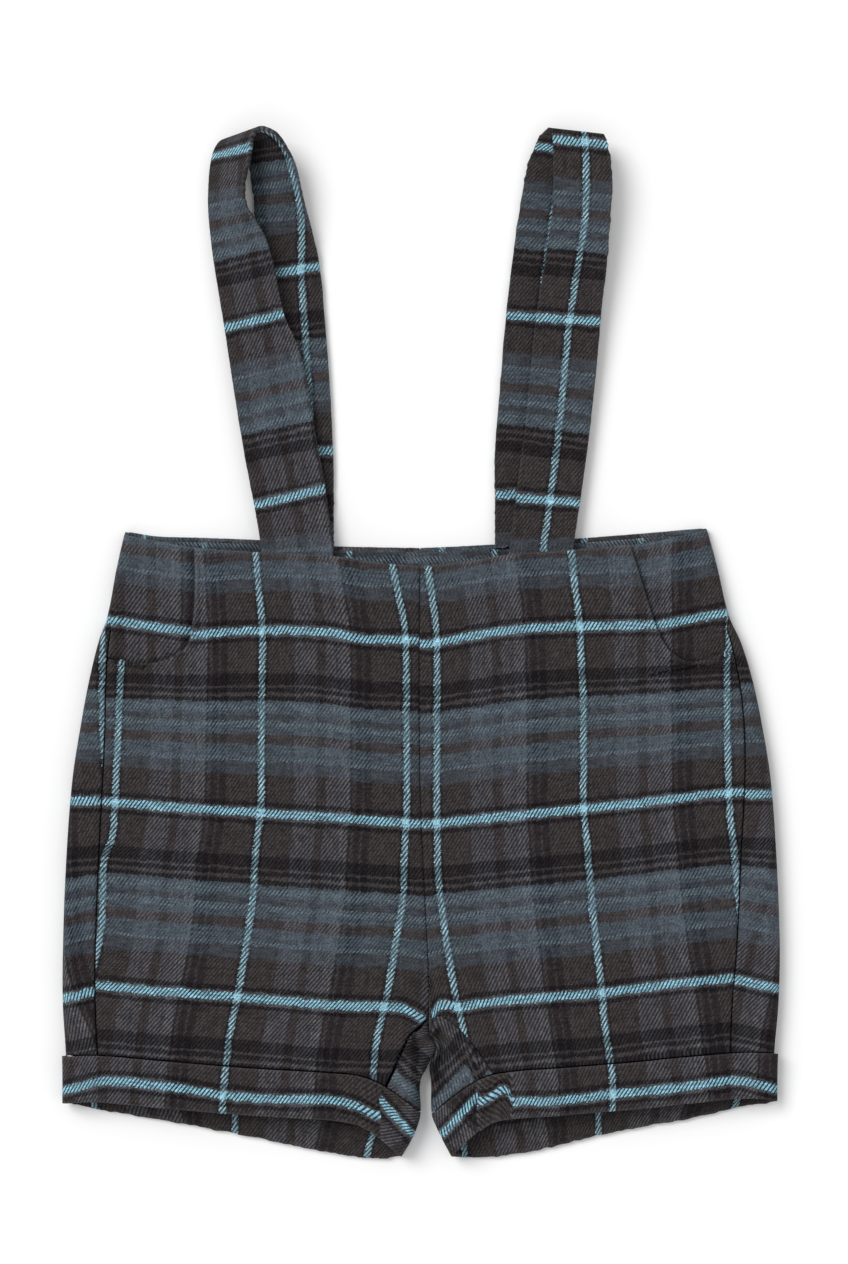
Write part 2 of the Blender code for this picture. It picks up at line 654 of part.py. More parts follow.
def cuff(side):
    """Doubled band round the end of one leg, open at both ends."""
    def place(s, t):
        y = -200.0
        for _ in range(SETTLE_STEPS):
            points = cuff_section(side, y)
            points.append(points[0])
            out, z, aside, inner = share_point(points, s)
            high = min(z / (crown(side, out, y) + CUFF_RISE), 1.0)
            y = cuff_y(side, out, high, t) - CUFF_GAP / 2 * (1.0 - t)
        return SIGN[side] * out, y, z, SIGN[side] * aside, 0.0, inner

    return cloth_piece(f"cuff_{side}", CUFF_COLUMNS, CUFF_ROWS, place, CUFF_WALL, COLORS["cuff"],
                       closed=True)


def strap(side):
    """One doubled band from the back waist over to the front waist."""
    table = STRAP_LEFT if side == LEFT else STRAP_RIGHT
    steps = STRAP_STEPS * (len(table) - 1)
    keys = [k / (len(table) - 1) for k in range(len(table))]

    def place(s, t):
        first, second = (np.array([along(keys, column(table, k + j), t) for k in range(3)])
                         for j in (0, 3))
        ahead, behind = (np.array([along(keys, column(table, k), spot) * (1 - s)
                                   + along(keys, column(table, k + 3), spot) * s
                                   for k in range(3)])
                         for spot in (t + SHARE_STEP, t - SHARE_STEP))
        turned = np.cross(second - first, ahead - behind)
        return *((1 - s) * first + s * second), *(turned / np.linalg.norm(turned))

    return cloth_piece(f"strap_{side}", STRAP_COLUMNS, steps, place, STRAP_WALL, COLORS["strap"])


for old in list(bpy.data.objects):
    bpy.data.objects.remove(old)

PARTS = collection("strap_shorts")
for half in (LEFT, RIGHT):
    front_panel(half)
    pocket_facing(half)
    back_panel(half)
    cuff(half)
    strap(half)
back_waist_facing()
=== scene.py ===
"""Toddler's plaid flannel shorts with two shoulder straps, laid flat on a white table, front up.

The object is packed in metres. The tables here are in millimetres, as in the pattern they follow:
X to the right, Y up towards the straps, Z up from the table. Left and right are the viewer's.
"""
import math

import bmesh
import bpy
import numpy as np
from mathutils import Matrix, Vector, noise


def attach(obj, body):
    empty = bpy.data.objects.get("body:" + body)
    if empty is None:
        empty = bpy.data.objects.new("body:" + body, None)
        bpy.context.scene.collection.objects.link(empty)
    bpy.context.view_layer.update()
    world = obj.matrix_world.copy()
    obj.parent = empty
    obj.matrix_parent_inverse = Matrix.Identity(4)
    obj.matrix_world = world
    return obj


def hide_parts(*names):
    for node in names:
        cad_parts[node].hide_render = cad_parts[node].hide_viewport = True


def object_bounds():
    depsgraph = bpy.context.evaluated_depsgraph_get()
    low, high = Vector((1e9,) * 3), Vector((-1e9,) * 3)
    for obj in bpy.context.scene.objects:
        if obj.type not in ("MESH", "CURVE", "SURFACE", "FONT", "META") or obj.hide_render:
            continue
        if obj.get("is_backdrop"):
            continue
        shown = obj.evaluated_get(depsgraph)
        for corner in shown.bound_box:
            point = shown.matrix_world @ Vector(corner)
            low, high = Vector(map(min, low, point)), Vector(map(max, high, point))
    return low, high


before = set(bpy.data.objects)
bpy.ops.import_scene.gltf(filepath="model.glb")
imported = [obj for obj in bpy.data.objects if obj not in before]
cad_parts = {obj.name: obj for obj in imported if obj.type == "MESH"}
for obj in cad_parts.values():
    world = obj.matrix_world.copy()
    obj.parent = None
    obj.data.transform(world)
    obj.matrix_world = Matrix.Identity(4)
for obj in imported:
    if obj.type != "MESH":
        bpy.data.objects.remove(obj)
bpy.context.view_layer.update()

# The camera. The photograph was taken from straight above with a long lens, and the picture's
# 848 x 1264 pixels cover 0.43 mm of the table each.
PIXEL = 0.43 * 0.001
LENS, FILM = 100.0, 36.0
camera_data = bpy.data.cameras.new("photo_camera")
camera_data.sensor_fit = "VERTICAL"
camera_data.sensor_height = FILM
camera_data.lens = LENS
camera = bpy.data.objects.new("photo_camera", camera_data)
camera.location = (0.0014, 0.0045, 1264 * PIXEL * LENS / FILM)
camera.rotation_euler = (0.0, 0.0, 0.0)
bpy.context.scene.collection.objects.link(camera)
bpy.context.scene.camera = camera
bpy.context.scene.view_settings.view_transform = "Standard"


# The two back panels. Each is one cut of brushed cotton flannel that lies on the table, comes
# round the side to the side seam on the front, and below the crotch comes round the inner leg to
# the inseam. The raw edges are turned in at the seams, so each panel rolls down into them.
MM = 0.001
LEFT, RIGHT = "left", "right"
SIGN = {LEFT: -1.0, RIGHT: 1.0}
PANEL_WALL = 1.2
SEAM_GAP, SIDE_GAP, CUFF_GAP = 0.3, 0.4, 0.4
FOLD_GAP = 1.0              # between the two inner legs where they touch
INNER_RADIUS, INNER_HALF_HEIGHT = 5.0, 5.0
CROTCH_Y = -157.0
CROTCH_LIP_TOP, CROTCH_DIP_TOP = -146.0, -147.0     # where it starts to part, and to round down

# The side fold: how far out it lies, how far the back comes round it on to the front, how high it
# stands and how tightly it turns
#          y      left edge  left wrap  right edge  right wrap  fold   radius
SIDES = ((50.0,    126.2,     2.4,       122.3,      2.4,       6.0,   2.2),
         (32.0,    130.4,     2.5,       127.2,      2.4,       7.0,   2.3),
         (10.0,    134.7,     3.2,       132.7,      3.2,       8.0,   2.6),
         (1.0,     137.9,     4.7,       136.9,      4.4,       8.6,   3.0),
         (-16.0,   142.1,     7.5,       142.2,      6.0,       9.2,   4.0),
         (-37.0,   146.0,     11.0,      146.6,      8.2,       9.6,   5.0),
         (-57.0,   149.1,     13.3,      149.8,      11.2,      10.0,  5.0),
         (-89.0,   151.7,     14.3,      152.3,      15.3,      10.0,  5.0),
         (-133.0,  153.4,     14.3,      153.9,      19.0,      10.0,  5.0),
         (-155.0,  153.4,     14.2,      153.3,      20.2,      10.0,  5.0),
         (-177.0,  152.1,     14.0,      151.5,      19.0,      9.6,   5.0),
         (-200.0,  152.0,     14.0,      151.2,      18.5,      9.2,   5.0))

# Height of the top surface at the side, over the leg and at the middle
#            y      side   leg    middle
HEIGHTS = ((50.0,   6.0,   9.6,   9.2),
           (10.0,   8.0,   10.6,  9.8),
           (-60.0,  10.0,  11.6,  10.4),
           (-130.0, 10.0,  12.2,  10.8),
           (-180.0, 9.6,   11.8,  10.4),
           (-222.0, 9.2,   11.4,  11.6))

# x of the line where the two halves meet, and below the crotch of each leg's inner fold
#          y       left    right
INNER = ((50.0,    -0.4,   -0.4),
         (-60.0,   -0.3,   -0.3),
         (-98.0,   1.2,    1.2),
         (-136.0,  3.1,    3.1),
         (-157.0,  4.0,    4.0),
         (-182.0,  2.9,    2.9),
         (-187.0,  0.6,    3.8),
         (-203.0,  0.3,    4.4),
         (-208.0,  -1.2,   6.4),
         (-213.0,  -3.4,   8.8),
         (-222.0,  -8.8,   13.6))

# x of the inseams, which lie on the front of the legs
#           y       left    right
INSEAM = ((-157.0,  3.2,    4.8),
          (-160.0,  1.0,    9.5),
          (-164.0,  -1.8,   15.0),
          (-169.0,  -5.2,   20.0),
          (-176.0,  -8.6,   25.4),
          (-182.0,  -10.8,  29.4),
          (-188.0,  -13.6,  33.4),
          (-196.0,  -17.6,  37.6),
          (-204.0,  -20.5,  40.6))

# y of the waist's edges, at distances out from the middle
#          out     left front  left back  right front  right back
WAIST = ((128.0,   46.4,       47.6,      49.4,        49.2),
         (114.0,   43.6,       45.3,      46.4,        48.1),
         (97.0,    40.6,       44.7,      42.9,        46.6),
         (65.0,    38.5,       43.4,      39.7,        44.1),
         (39.0,    37.2,       41.1,      37.8,        42.2),
         (18.0,    34.2,       40.5,      34.5,        41.0),
         (0.0,     32.5,       40.2,      32.5,        40.2))

# y of the hems, and of the cuffs' upper seams
#        out     left front  left back  right front  right back
HEMS = ((153.0,  -197.0,     -197.6,    -195.6,      -197.2),
        (140.0,  -196.4,     -200.2,    -194.8,      -198.9),
        (115.0,  -198.4,     -204.4,    -196.8,      -204.4),
        (95.0,   -200.1,     -208.0,    -198.9,      -208.0),
        (75.0,   -201.6,     -211.8,    -200.5,      -212.0),
        (55.0,   -202.8,     -216.0,    -202.2,      -216.9),
        (40.0,   -203.8,     -218.9,    -203.2,      -219.7),
        (32.0,   -204.8,     -220.2,    -204.6,      -220.6),
        (26.0,   -206.4,     -221.0,    -207.6,      -221.0),
        (20.0,   -209.8,     -221.5,    -212.4,      -221.3),
        (14.0,   -214.6,     -221.5,    -217.8,      -221.5),
        (8.0,    -219.6,     -220.8,    -222.0,      -221.6))

#             out     left front  left back  right front  right back
CUFF_TOPS = ((153.0,  -176.7,     -177.3,    -175.3,      -176.9),
             (140.0,  -176.3,     -179.9,    -175.0,      -178.8),
             (115.0,  -178.1,     -184.1,    -176.7,      -184.1),
             (95.0,   -179.8,     -187.7,    -178.6,      -187.7),
             (75.0,   -181.3,     -191.5,    -180.2,      -191.7),
             (55.0,   -182.5,     -195.7,    -181.7,      -196.4),
             (40.0,   -183.5,     -198.4,    -182.9,      -199.0),
             (28.0,   -184.6,     -200.0,    -185.2,      -200.4),
             (20.0,   -187.0,     -200.8,    -189.4,      -201.0),
             (12.0,   -191.6,     -201.2,    -195.2,      -201.4),
             (6.0,    -196.0,     -201.4,    -200.0,      -201.6),
             (-1.0,   -201.2,     -201.6,    -205.0,      -201.8))

# Soft troughs (depth above 0) and ridges (below 0) along lines of the top surface
#          from x    from y   to x     to y    depth  half width
CREASES = ((-0.3,    34.0,    0.2,     -74.0,  0.8,   3.5),
           (0.7,     -88.0,   4.0,     -152.0, 1.1,   4.5),
           (1.0,     -150.0,  -31.0,   -137.0, 1.3,   6.0),
           (7.0,     -150.0,  44.0,    -134.0, 1.2,   6.5),
           (-147.0,  -126.0,  -139.0,  -158.0, 0.9,   4.0),
           (-94.0,   6.0,     -78.0,   -6.0,   0.9,   5.0),
           (92.0,    -18.0,   76.0,    -28.0,  0.8,   6.0),
           (-60.0,   -150.0,  -96.0,   -172.0, 0.8,   9.0),
           (72.0,    -148.0,  104.0,   -174.0, 0.8,   9.0),
           # small ones, shown here alone
           (-94.3,   33.0,    -93.2,   8.0,    0.8,   1.5),
           (-96.8,   12.0,    -89.5,   4.0,    -0.5,  2.2),
           (-100.0,  2.0,     -90.0,   1.0,    0.7,   2.6),
           (-148.0,  -128.0,  -141.0,  -140.0, 0.7,   1.8),
           (-146.0,  -146.0,  -139.5,  -158.0, 0.6,   1.8),
           (146.5,   -104.0,  141.5,   -120.0, 0.5,   2.4),
           (141.0,   -128.0,  136.5,   -150.0, 0.6,   2.2),
           (-3.4,    -168.0,  -1.6,    -187.0, 4.6,   1.2),
           (-7.4,    -169.0,  -5.4,    -184.0, -0.9,  2.2),
           (6.8,     -166.0,  7.8,     -187.0, 6.0,   2.2),
           (12.0,    -164.0,  20.0,    -181.0, 0.9,   1.3),
           (18.0,    -172.0,  27.0,    -188.0, 0.9,   1.4),
           (-18.0,   -160.0,  -40.0,   -170.0, -0.5,  5.0),
           (30.0,    -158.0,  52.0,    -170.0, -0.5,  5.0),
           (12.0,    -146.0,  26.0,    -158.0, -0.6,  3.6),
           (-8.0,    -146.0,  -22.0,   -156.0, -0.5,  3.6),
           (-60.0,   28.0,    -42.0,   10.0,   0.35,  6.0),
           (60.0,    30.0,    44.0,    8.0,    0.35,  6.0),
           (-118.0,  -60.0,   -126.0,  -98.0,  0.4,   6.0),
           (120.0,   -56.0,   128.0,   -96.0,  0.4,   6.0),
           (-34.0,   -70.0,   -40.0,   -118.0, 0.3,   8.0),
           (36.0,    -74.0,   46.0,    -112.0, 0.3,   8.0),
           (100.0,   20.0,    112.0,   4.0,    0.4,   3.6))

# The same on the hidden underside: how far the cloth lifts off the table
LIFTS = ((-96.0,    -30.0,   -60.0,   -66.0,  0.30,  7.0),
         (84.0,     -44.0,   52.0,    -82.0,  0.34,  8.0),
         (-30.0,    -126.0,  -68.0,   -150.0, 0.36,  7.0),
         (34.0,     -122.0,  66.0,    -152.0, 0.30,  7.0))


def curve(table, index):
    """A smooth curve through one column of a table, read at any keys of its first column."""
    rows = np.array(sorted(table), float)
    keys, values = rows[:, 0], rows[:, index]
    steps = np.diff(values) / np.diff(keys)
    slopes = 0.5 * (np.append(steps[0], steps) + np.append(steps, steps[-1]))

    def read(at):
        at = np.clip(at, keys[0], keys[-1])
        i = np.clip(np.searchsorted(keys, at) - 1, 0, len(steps) - 1)
        width = keys[i + 1] - keys[i]
        t = (at - keys[i]) / width
        return (values[i] * (2 * t ** 3 - 3 * t ** 2 + 1)
                + values[i + 1] * (3 * t ** 2 - 2 * t ** 3)
                + width * (slopes[i] * (t ** 3 - 2 * t ** 2 + t)
                           + slopes[i + 1] * (t ** 3 - t ** 2)))

    return read


def rise(start, end, value):
    """Smooth step: 0 at start, 1 at end."""
    t = np.clip((value - start) / (end - start), 0.0, 1.0)
    return t * t * (3.0 - 2.0 * t)


EDGE = {LEFT: curve(SIDES, 1), RIGHT: curve(SIDES, 3)}
WRAP = {LEFT: curve(SIDES, 2), RIGHT: curve(SIDES, 4)}
FOLD_HEIGHT, FOLD_RADIUS = curve(SIDES, 5), curve(SIDES, 6)
HEIGHT_LOW, HEIGHT_LEG, HEIGHT_MIDDLE = (curve(HEIGHTS, k) for k in (1, 2, 3))
INNER_X = {LEFT: curve(INNER, 1), RIGHT: curve(INNER, 2)}
INSEAM_X = {LEFT: curve(INSEAM, 1), RIGHT: curve(INSEAM, 2)}
FRONT_WAIST = {LEFT: curve(WAIST, 1), RIGHT: curve(WAIST, 3)}
BACK_WAIST = {LEFT: curve(WAIST, 2), RIGHT: curve(WAIST, 4)}
FRONT_HEM = {LEFT: curve(HEMS, 1), RIGHT: curve(HEMS, 3)}
BACK_HEM = {LEFT: curve(HEMS, 2), RIGHT: curve(HEMS, 4)}
FRONT_CUFF_TOP = {LEFT: curve(CUFF_TOPS, 1), RIGHT: curve(CUFF_TOPS, 3)}
BACK_CUFF_TOP = {LEFT: curve(CUFF_TOPS, 2), RIGHT: curve(CUFF_TOPS, 4)}


def seam_out(side, y):
    """Distance out of the side seam, on the front."""
    return EDGE[side](y) - WRAP[side](y)


def inner_out(side, y):
    """Distance out of a half's inner edge, with half the gap to the other half."""
    gap = SEAM_GAP + (FOLD_GAP - SEAM_GAP) * rise(CROTCH_LIP_TOP + 10.0, CROTCH_LIP_TOP, y)
    return SIGN[side] * INNER_X[side](y) + gap / 2


def cuff_y(side, out, high, share):
    """Height on the page in a cuff, from its upper edge at share 0 to its hem at 1. high is 0 on
    the back of the leg, 1 on its front and between them on the folds."""
    top = (1.0 - high) * BACK_CUFF_TOP[side](out) + high * FRONT_CUFF_TOP[side](out)
    hem = (1.0 - high) * BACK_HEM[side](out) + high * FRONT_HEM[side](out)
    return (1.0 - share) * top + share * hem


def along_lines(lines, x, y):
    """Sum of the soft troughs of a table at points in plan."""
    depth = 0.0
    for x0, y0, x1, y1, deep, half in lines:
        dx, dy = x1 - x0, y1 - y0
        t = np.clip(((x - x0) * dx + (y - y0) * dy) / (dx * dx + dy * dy), 0.0, 1.0)
        away = np.hypot(x - x0 - t * dx, y - y0 - t * dy)
        depth = depth + deep * np.exp(-(away / half) ** 2)
    return depth


def crown(side, out, y):
    """Height of the smooth top surface before its edges are rounded."""
    inner = inner_out(side, y)
    share = np.clip((out - inner) / (EDGE[side](y) - inner), 0.0, 1.0)
    low, leg, middle = HEIGHT_LOW(y), HEIGHT_LEG(y), HEIGHT_MIDDLE(y)
    return np.where(share < 0.45, middle + (leg - middle) * rise(0.0, 0.45, share),
                    leg + (low - leg) * rise(0.45, 1.0, share))


def rounding(distance, radius):
    """0 at a fold's outermost line, 1 where the fold meets the flat surface."""
    t = np.clip(1.0 - distance / radius, 0.0, 1.0)
    return np.sqrt(np.maximum(1.0 - t * t, 0.0))


def top_height(side, out, y, creased=True):
    """Height of the garment's top surface, rounded down along the side and between the legs."""
    height = crown(side, out, y)
    if creased:
        height = height - along_lines(CREASES, SIGN[side] * out, y)
    half = 0.5 * FOLD_HEIGHT(y)
    height = half + (height - half) * rounding(EDGE[side](y) - out, FOLD_RADIUS(y))
    inner = rounding(out - inner_out(side, y), INNER_RADIUS)
    weight = np.where(y < CROTCH_Y, 1.0, 0.5 * rise(CROTCH_DIP_TOP, CROTCH_Y, y))
    rounded = INNER_HALF_HEIGHT + (height - INNER_HALF_HEIGHT) * inner
    return height + weight * (rounded - height)


QUARTER = np.radians(np.arange(0, 91, 6))


def back_section(side, y):
    """The back panel's outer line at one height: (out, z) from its inner edge to the side seam."""
    inner, edge, radius = inner_out(side, y), EDGE[side](y), FOLD_RADIUS(y)
    outs, heights = [], []
    if y < CROTCH_Y:
        start = max(SIGN[side] * INSEAM_X[side](y) - inner, 2 * SEAM_GAP) - SIDE_GAP / 2
        out = inner + start * (1.0 - np.cos(QUARTER[::-1]))
        outs.append(out)
        heights.append(top_height(side, out, y, False))
        share = 1.0
    else:
        share = rise(CROTCH_LIP_TOP, CROTCH_Y, y)
    outs.append(inner + INNER_RADIUS * share * (1.0 - np.sin(QUARTER[::-1])))
    heights.append(INNER_HALF_HEIGHT * share * (1.0 - np.cos(QUARTER[::-1])))
    middle = np.linspace(inner + INNER_RADIUS, edge - radius, 40)[1:-1]
    outs.append(middle)
    heights.append(along_lines(LIFTS, SIGN[side] * middle, y))
    outs.append(edge - radius * (1.0 - np.sin(QUARTER)))
    heights.append(0.5 * FOLD_HEIGHT(y) * (1.0 - np.cos(QUARTER)))
    out = edge - (WRAP[side](y) - SIDE_GAP / 2) * (1.0 - np.cos(QUARTER))
    outs.append(out)
    heights.append(top_height(side, out, y, False))
    return np.concatenate(outs), np.concatenate(heights)


def spread_evenly(outs, heights, count, curl):
    """A section as count points, closer together where it stands up, with the length so far."""
    steps = np.hypot(np.diff(outs), np.diff(heights))
    weighted = np.append(0.0, np.cumsum(np.hypot(np.diff(outs), curl * np.diff(heights))))
    true = np.append(0.0, np.cumsum(steps))
    goals = np.linspace(0.0, weighted[-1], count)
    return [np.interp(goals, weighted, k) for k in (outs, heights, true)]


def between(table, s, y, levels):
    """Reads a table of sections, levels down and shares across, between its entries."""
    columns = table.shape[1] - 1
    a = np.clip(s * columns, 0, columns - 1e-6)
    b = np.clip((levels[0] - y) / (levels[0] - levels[-1]) * (len(levels) - 1), 0,
                len(levels) - 1 - 1e-6)
    i, j = a.astype(int), b.astype(int)
    a, b = a - i, b - j
    return ((1 - a) * (1 - b) * table[j, i] + a * (1 - b) * table[j, i + 1]
            + (1 - a) * b * table[j + 1, i] + a * b * table[j + 1, i + 1])


def rolled(points, edges):
    """Lowers a piece's points near its edges, where the cloth turns under. edges gives the depth
    and the reach for the edges at the first and last column and the first and last row."""
    plan = points[:, :, :2]
    across = np.linalg.norm(np.diff(points, axis=1), axis=2)
    down = np.linalg.norm(np.diff(plan, axis=0), axis=2)
    zeros = np.zeros(points.shape[:2])
    far = [zeros.copy() for _ in range(4)]
    far[0][:, 1:] = np.cumsum(across, axis=1)
    far[1] = far[0][:, -1:] - far[0]
    far[2][1:] = np.cumsum(down, axis=0)
    far[3] = far[2][-1:] - far[2]
    for distance, edge in zip(far, edges):
        if edge:
            points[:, :, 2] -= edge[0] * (1.0 - rounding(distance, edge[1]))
    return points


def near_edges(points, edges):
    """1 at a piece's edges and 0 further in than each edge's reach; None leaves an edge out."""
    across = np.linalg.norm(np.diff(points, axis=1), axis=2)
    down = np.linalg.norm(np.diff(points, axis=0), axis=2)
    near = np.zeros(points.shape[:2])
    for number, reach in enumerate(edges):
        if reach:
            steps = across if number < 2 else down
            axis = 1 if number < 2 else 0
            if number % 2:
                steps = np.flip(steps, axis)
            far = np.cumsum(steps, axis=axis)
            far = np.insert(far, 0, 0.0, axis=axis)
            if number % 2:
                far = np.flip(far, axis)
            near = np.maximum(near, np.clip(1.0 - far / reach, 0.0, 1.0))
    return near


def uneven(points, depth, size, seed):
    """Adds the small unevenness that cloth keeps after it is smoothed out by hand."""
    for row in points:
        for point in row:
            at = Vector((point[0] / size + seed, point[1] / size, point[2] / size))
            point[2] += depth * (noise.noise(at) + 0.5 * noise.noise(at * 2.7))
    return points


def tugged(points):
    """Draws the cloth at the crotch down to the right, where the thick crossing of seams lies."""
    x, y = points[:, :, 0].copy(), points[:, :, 1].copy()
    near = np.exp(-((x - 4.0) / np.where(x < 4.0, 7.0, 2.6)) ** 2 - ((y + 160.0) / 9.0) ** 2)
    points[:, :, 1] -= 5.0 * near
    points[:, :, 0] += 3.0 * np.exp(-((x - 3.0) / 7.0) ** 2 - ((y + 173.0) / 6.0) ** 2)
    return points


EDGE_FRAY, FRAY_PITCH = 0.10, 700.0     # how far edges stray, and waves to a metre
noise.seed_set(7)                       # so that the edges come out the same each time


def laid_cloth(name, points, weaves, wall, materials, facing_up, closed=False, wear_and_highlight=None,
               zones=None):
    """One piece of cloth: a grid set to its points in millimetres, with the threads' own
    coordinates as its UV map, one unit to 100 mm of cloth, and a live wall. worn says how much
    paler each point is drawn, partly the nap rubbed pale and partly a painted highlight on
    rolled edges, and zones which of the weaves each place is cut from. A piece
    that doesn't face up faces away from its own middle."""
    rows, columns = points.shape[0] - 1, points.shape[1] - 1
    bm = bmesh.new()
    bmesh.ops.create_grid(bm, x_segments=columns, y_segments=rows, size=0.5)
    place = {}
    for vertex in bm.verts:
        spot = (round((0.5 - vertex.co.y) * rows), round((vertex.co.x + 0.5) * columns))
        place[vertex.index] = spot
        vertex.co = points[spot] * MM
    edge_wear_and_highlight = bm.verts.layers.float.new("edge_wear_and_highlight")
    if wear_and_highlight is not None:
        for vertex in bm.verts:
            vertex[edge_wear_and_highlight] = wear_and_highlight[place[vertex.index]]
    threads = bm.loops.layers.uv.new("threads")
    for face in bm.faces:
        corner = min(place[vertex.index] for vertex in face.verts)
        weave = weaves[0 if zones is None else zones[corner]]
        for loop in face.loops:
            loop[threads].uv = weave[place[loop.vert.index]] * 0.01
    if closed:
        bmesh.ops.remove_doubles(bm, verts=bm.verts, dist=0.000001)
    for vertex in bm.verts:
        if vertex.is_boundary:
            vertex.co += EDGE_FRAY * MM * noise.noise_vector(vertex.co * FRAY_PITCH)
    bm.normal_update()
    heart = sum((vertex.co for vertex in bm.verts), Vector()) / len(bm.verts)
    if facing_up:
        heart.z -= 1.0
    away = sum(face.calc_area() * face.normal.dot(face.calc_center_median() - heart)
               for face in bm.faces)
    if away < 0.0:
        bmesh.ops.reverse_faces(bm, faces=bm.faces)
    for face in bm.faces:
        face.smooth = True
    mesh = bpy.data.meshes.new(name)
    bm.to_mesh(mesh)
    bm.free()
    for material in materials:
        mesh.materials.append(material)
    piece = bpy.data.objects.new(name, mesh)
    bpy.context.scene.collection.objects.link(piece)
    solid = piece.modifiers.new("wall", "SOLIDIFY")
    solid.thickness = wall * MM
    solid.offset = -1.0
    if len(materials) > 1:
        solid.material_offset = 1
    return piece


def shares(count, length, edge=2.0):
    """Shares of 0 to 1 that stand closer together within a few millimetres of both ends."""
    fine = np.linspace(0.0, length, 2000)
    density = 1.0 + 3.0 * (np.exp(-(fine / edge) ** 2) + np.exp(-((length - fine) / edge) ** 2))
    total = np.append(0.0, np.cumsum(0.5 * (density[1:] + density[:-1])))
    return np.interp(np.linspace(0.0, total[-1], count + 1), total, fine) / length


def node_value(tree, kind, inputs=(), **settings):
    """Adds a shader node, sets its options and links or sets its inputs."""
    made = tree.nodes.new(kind)
    for key, value in settings.items():
        setattr(made, key, value)
    for key, value in inputs:
        if isinstance(value, bpy.types.NodeSocket):
            tree.links.new(value, made.inputs[key])
        else:
            made.inputs[key].default_value = value
    return made


def math_value(tree, operation, *values):
    """A Math node's value."""
    return node_value(tree, "ShaderNodeMath", enumerate(values), operation=operation).outputs[0]


def color_mix(tree, factor, first, second):
    """A mix of two colours; the node's colour sockets are its inputs 6 and 7 and its output 2."""
    return node_value(tree, "ShaderNodeMix", [(0, factor), (6, first), (7, second)],
                      data_type="RGBA").outputs[2]


def stripes(tree, phase, bands):
    """The colours of the threads one way: bands are (start, colour), in shares of a repeat."""
    ramp = tree.nodes.new("ShaderNodeValToRGB")
    tree.links.new(phase, ramp.inputs[0])
    ramp.color_ramp.interpolation = "CONSTANT"
    elements = ramp.color_ramp.elements
    while len(elements) > 1:
        elements.remove(elements[-1])
    elements[0].position, elements[0].color = 0.0, (*bands[0][1], 1.0)
    for start, color in bands[1:]:
        elements.new(start).color = (*color, 1.0)
    return ramp.outputs[0]


# Thread colours, in linear light
BROWN = (0.026, 0.0215, 0.022)
BROWN_WARP = (0.042, 0.036, 0.0365)
BROWN_GREY = (0.043, 0.038, 0.040)
INK = (0.0080, 0.0060, 0.0085)
INK_WARP = (0.014, 0.011, 0.0135)
GREY = (0.074, 0.073, 0.083)
GREY_PALE = (0.094, 0.096, 0.107)
SLATE = (0.078, 0.112, 0.142)
SLATE_PALE = (0.118, 0.164, 0.200)
SLATE_DEEP = (0.048, 0.063, 0.082)
SKY = (0.300, 0.600, 0.745)
SKY_WARP = (0.280, 0.450, 0.530)

# One repeat of the warp, 62.5 mm, from the middle of its blue line to the right, and one of the
# weft, 78.7 mm, down the page: the distance in millimetres at which each band starts
WARP_REPEAT, WEFT_REPEAT = 62.5, 78.7
WARP_BANDS = ((0.0, SKY_WARP), (1.25, INK_WARP), (2.5, BROWN_WARP), (14.4, GREY),
              (23.8, BROWN_WARP), (27.6, GREY), (34.0, GREY_PALE), (38.2, INK_WARP),
              (39.3, BROWN_GREY), (40.6, INK_WARP), (43.4, BROWN_WARP), (44.4, INK_WARP),
              (47.2, BROWN_WARP), (60.0, INK_WARP), (61.25, SKY_WARP))
WEFT_BANDS = ((0.0, SKY), (1.75, GREY), (2.8, INK), (4.9, BROWN), (18.4, INK), (23.4, BROWN_GREY),
              (24.5, INK), (26.5, BROWN_GREY), (28.2, INK), (30.4, SLATE), (31.6, SLATE_PALE),
              (34.6, SLATE), (36.0, SLATE_DEEP), (38.8, SLATE_PALE), (41.6, SLATE),
              (44.8, BROWN_GREY),
              (49.0, SLATE), (55.0, SLATE_PALE), (56.4, SLATE_DEEP), (61.9, BROWN), (74.0, INK),
              (76.1, GREY), (77.0, SKY))
TWILL_RIB, RIB_SLOPE = 1.63, 0.66       # between ribs across the cloth, and their share down it
# LINT is the colour of loose pale fibres; the second colour is the paler tone drawn along edges,
# partly the nap rubbed pale and partly a painted highlight where the rolled edges catch light
LINT, WORN_AND_LIT_PALE = (0.13, 0.135, 0.145, 1.0), (0.115, 0.115, 0.118, 1.0)


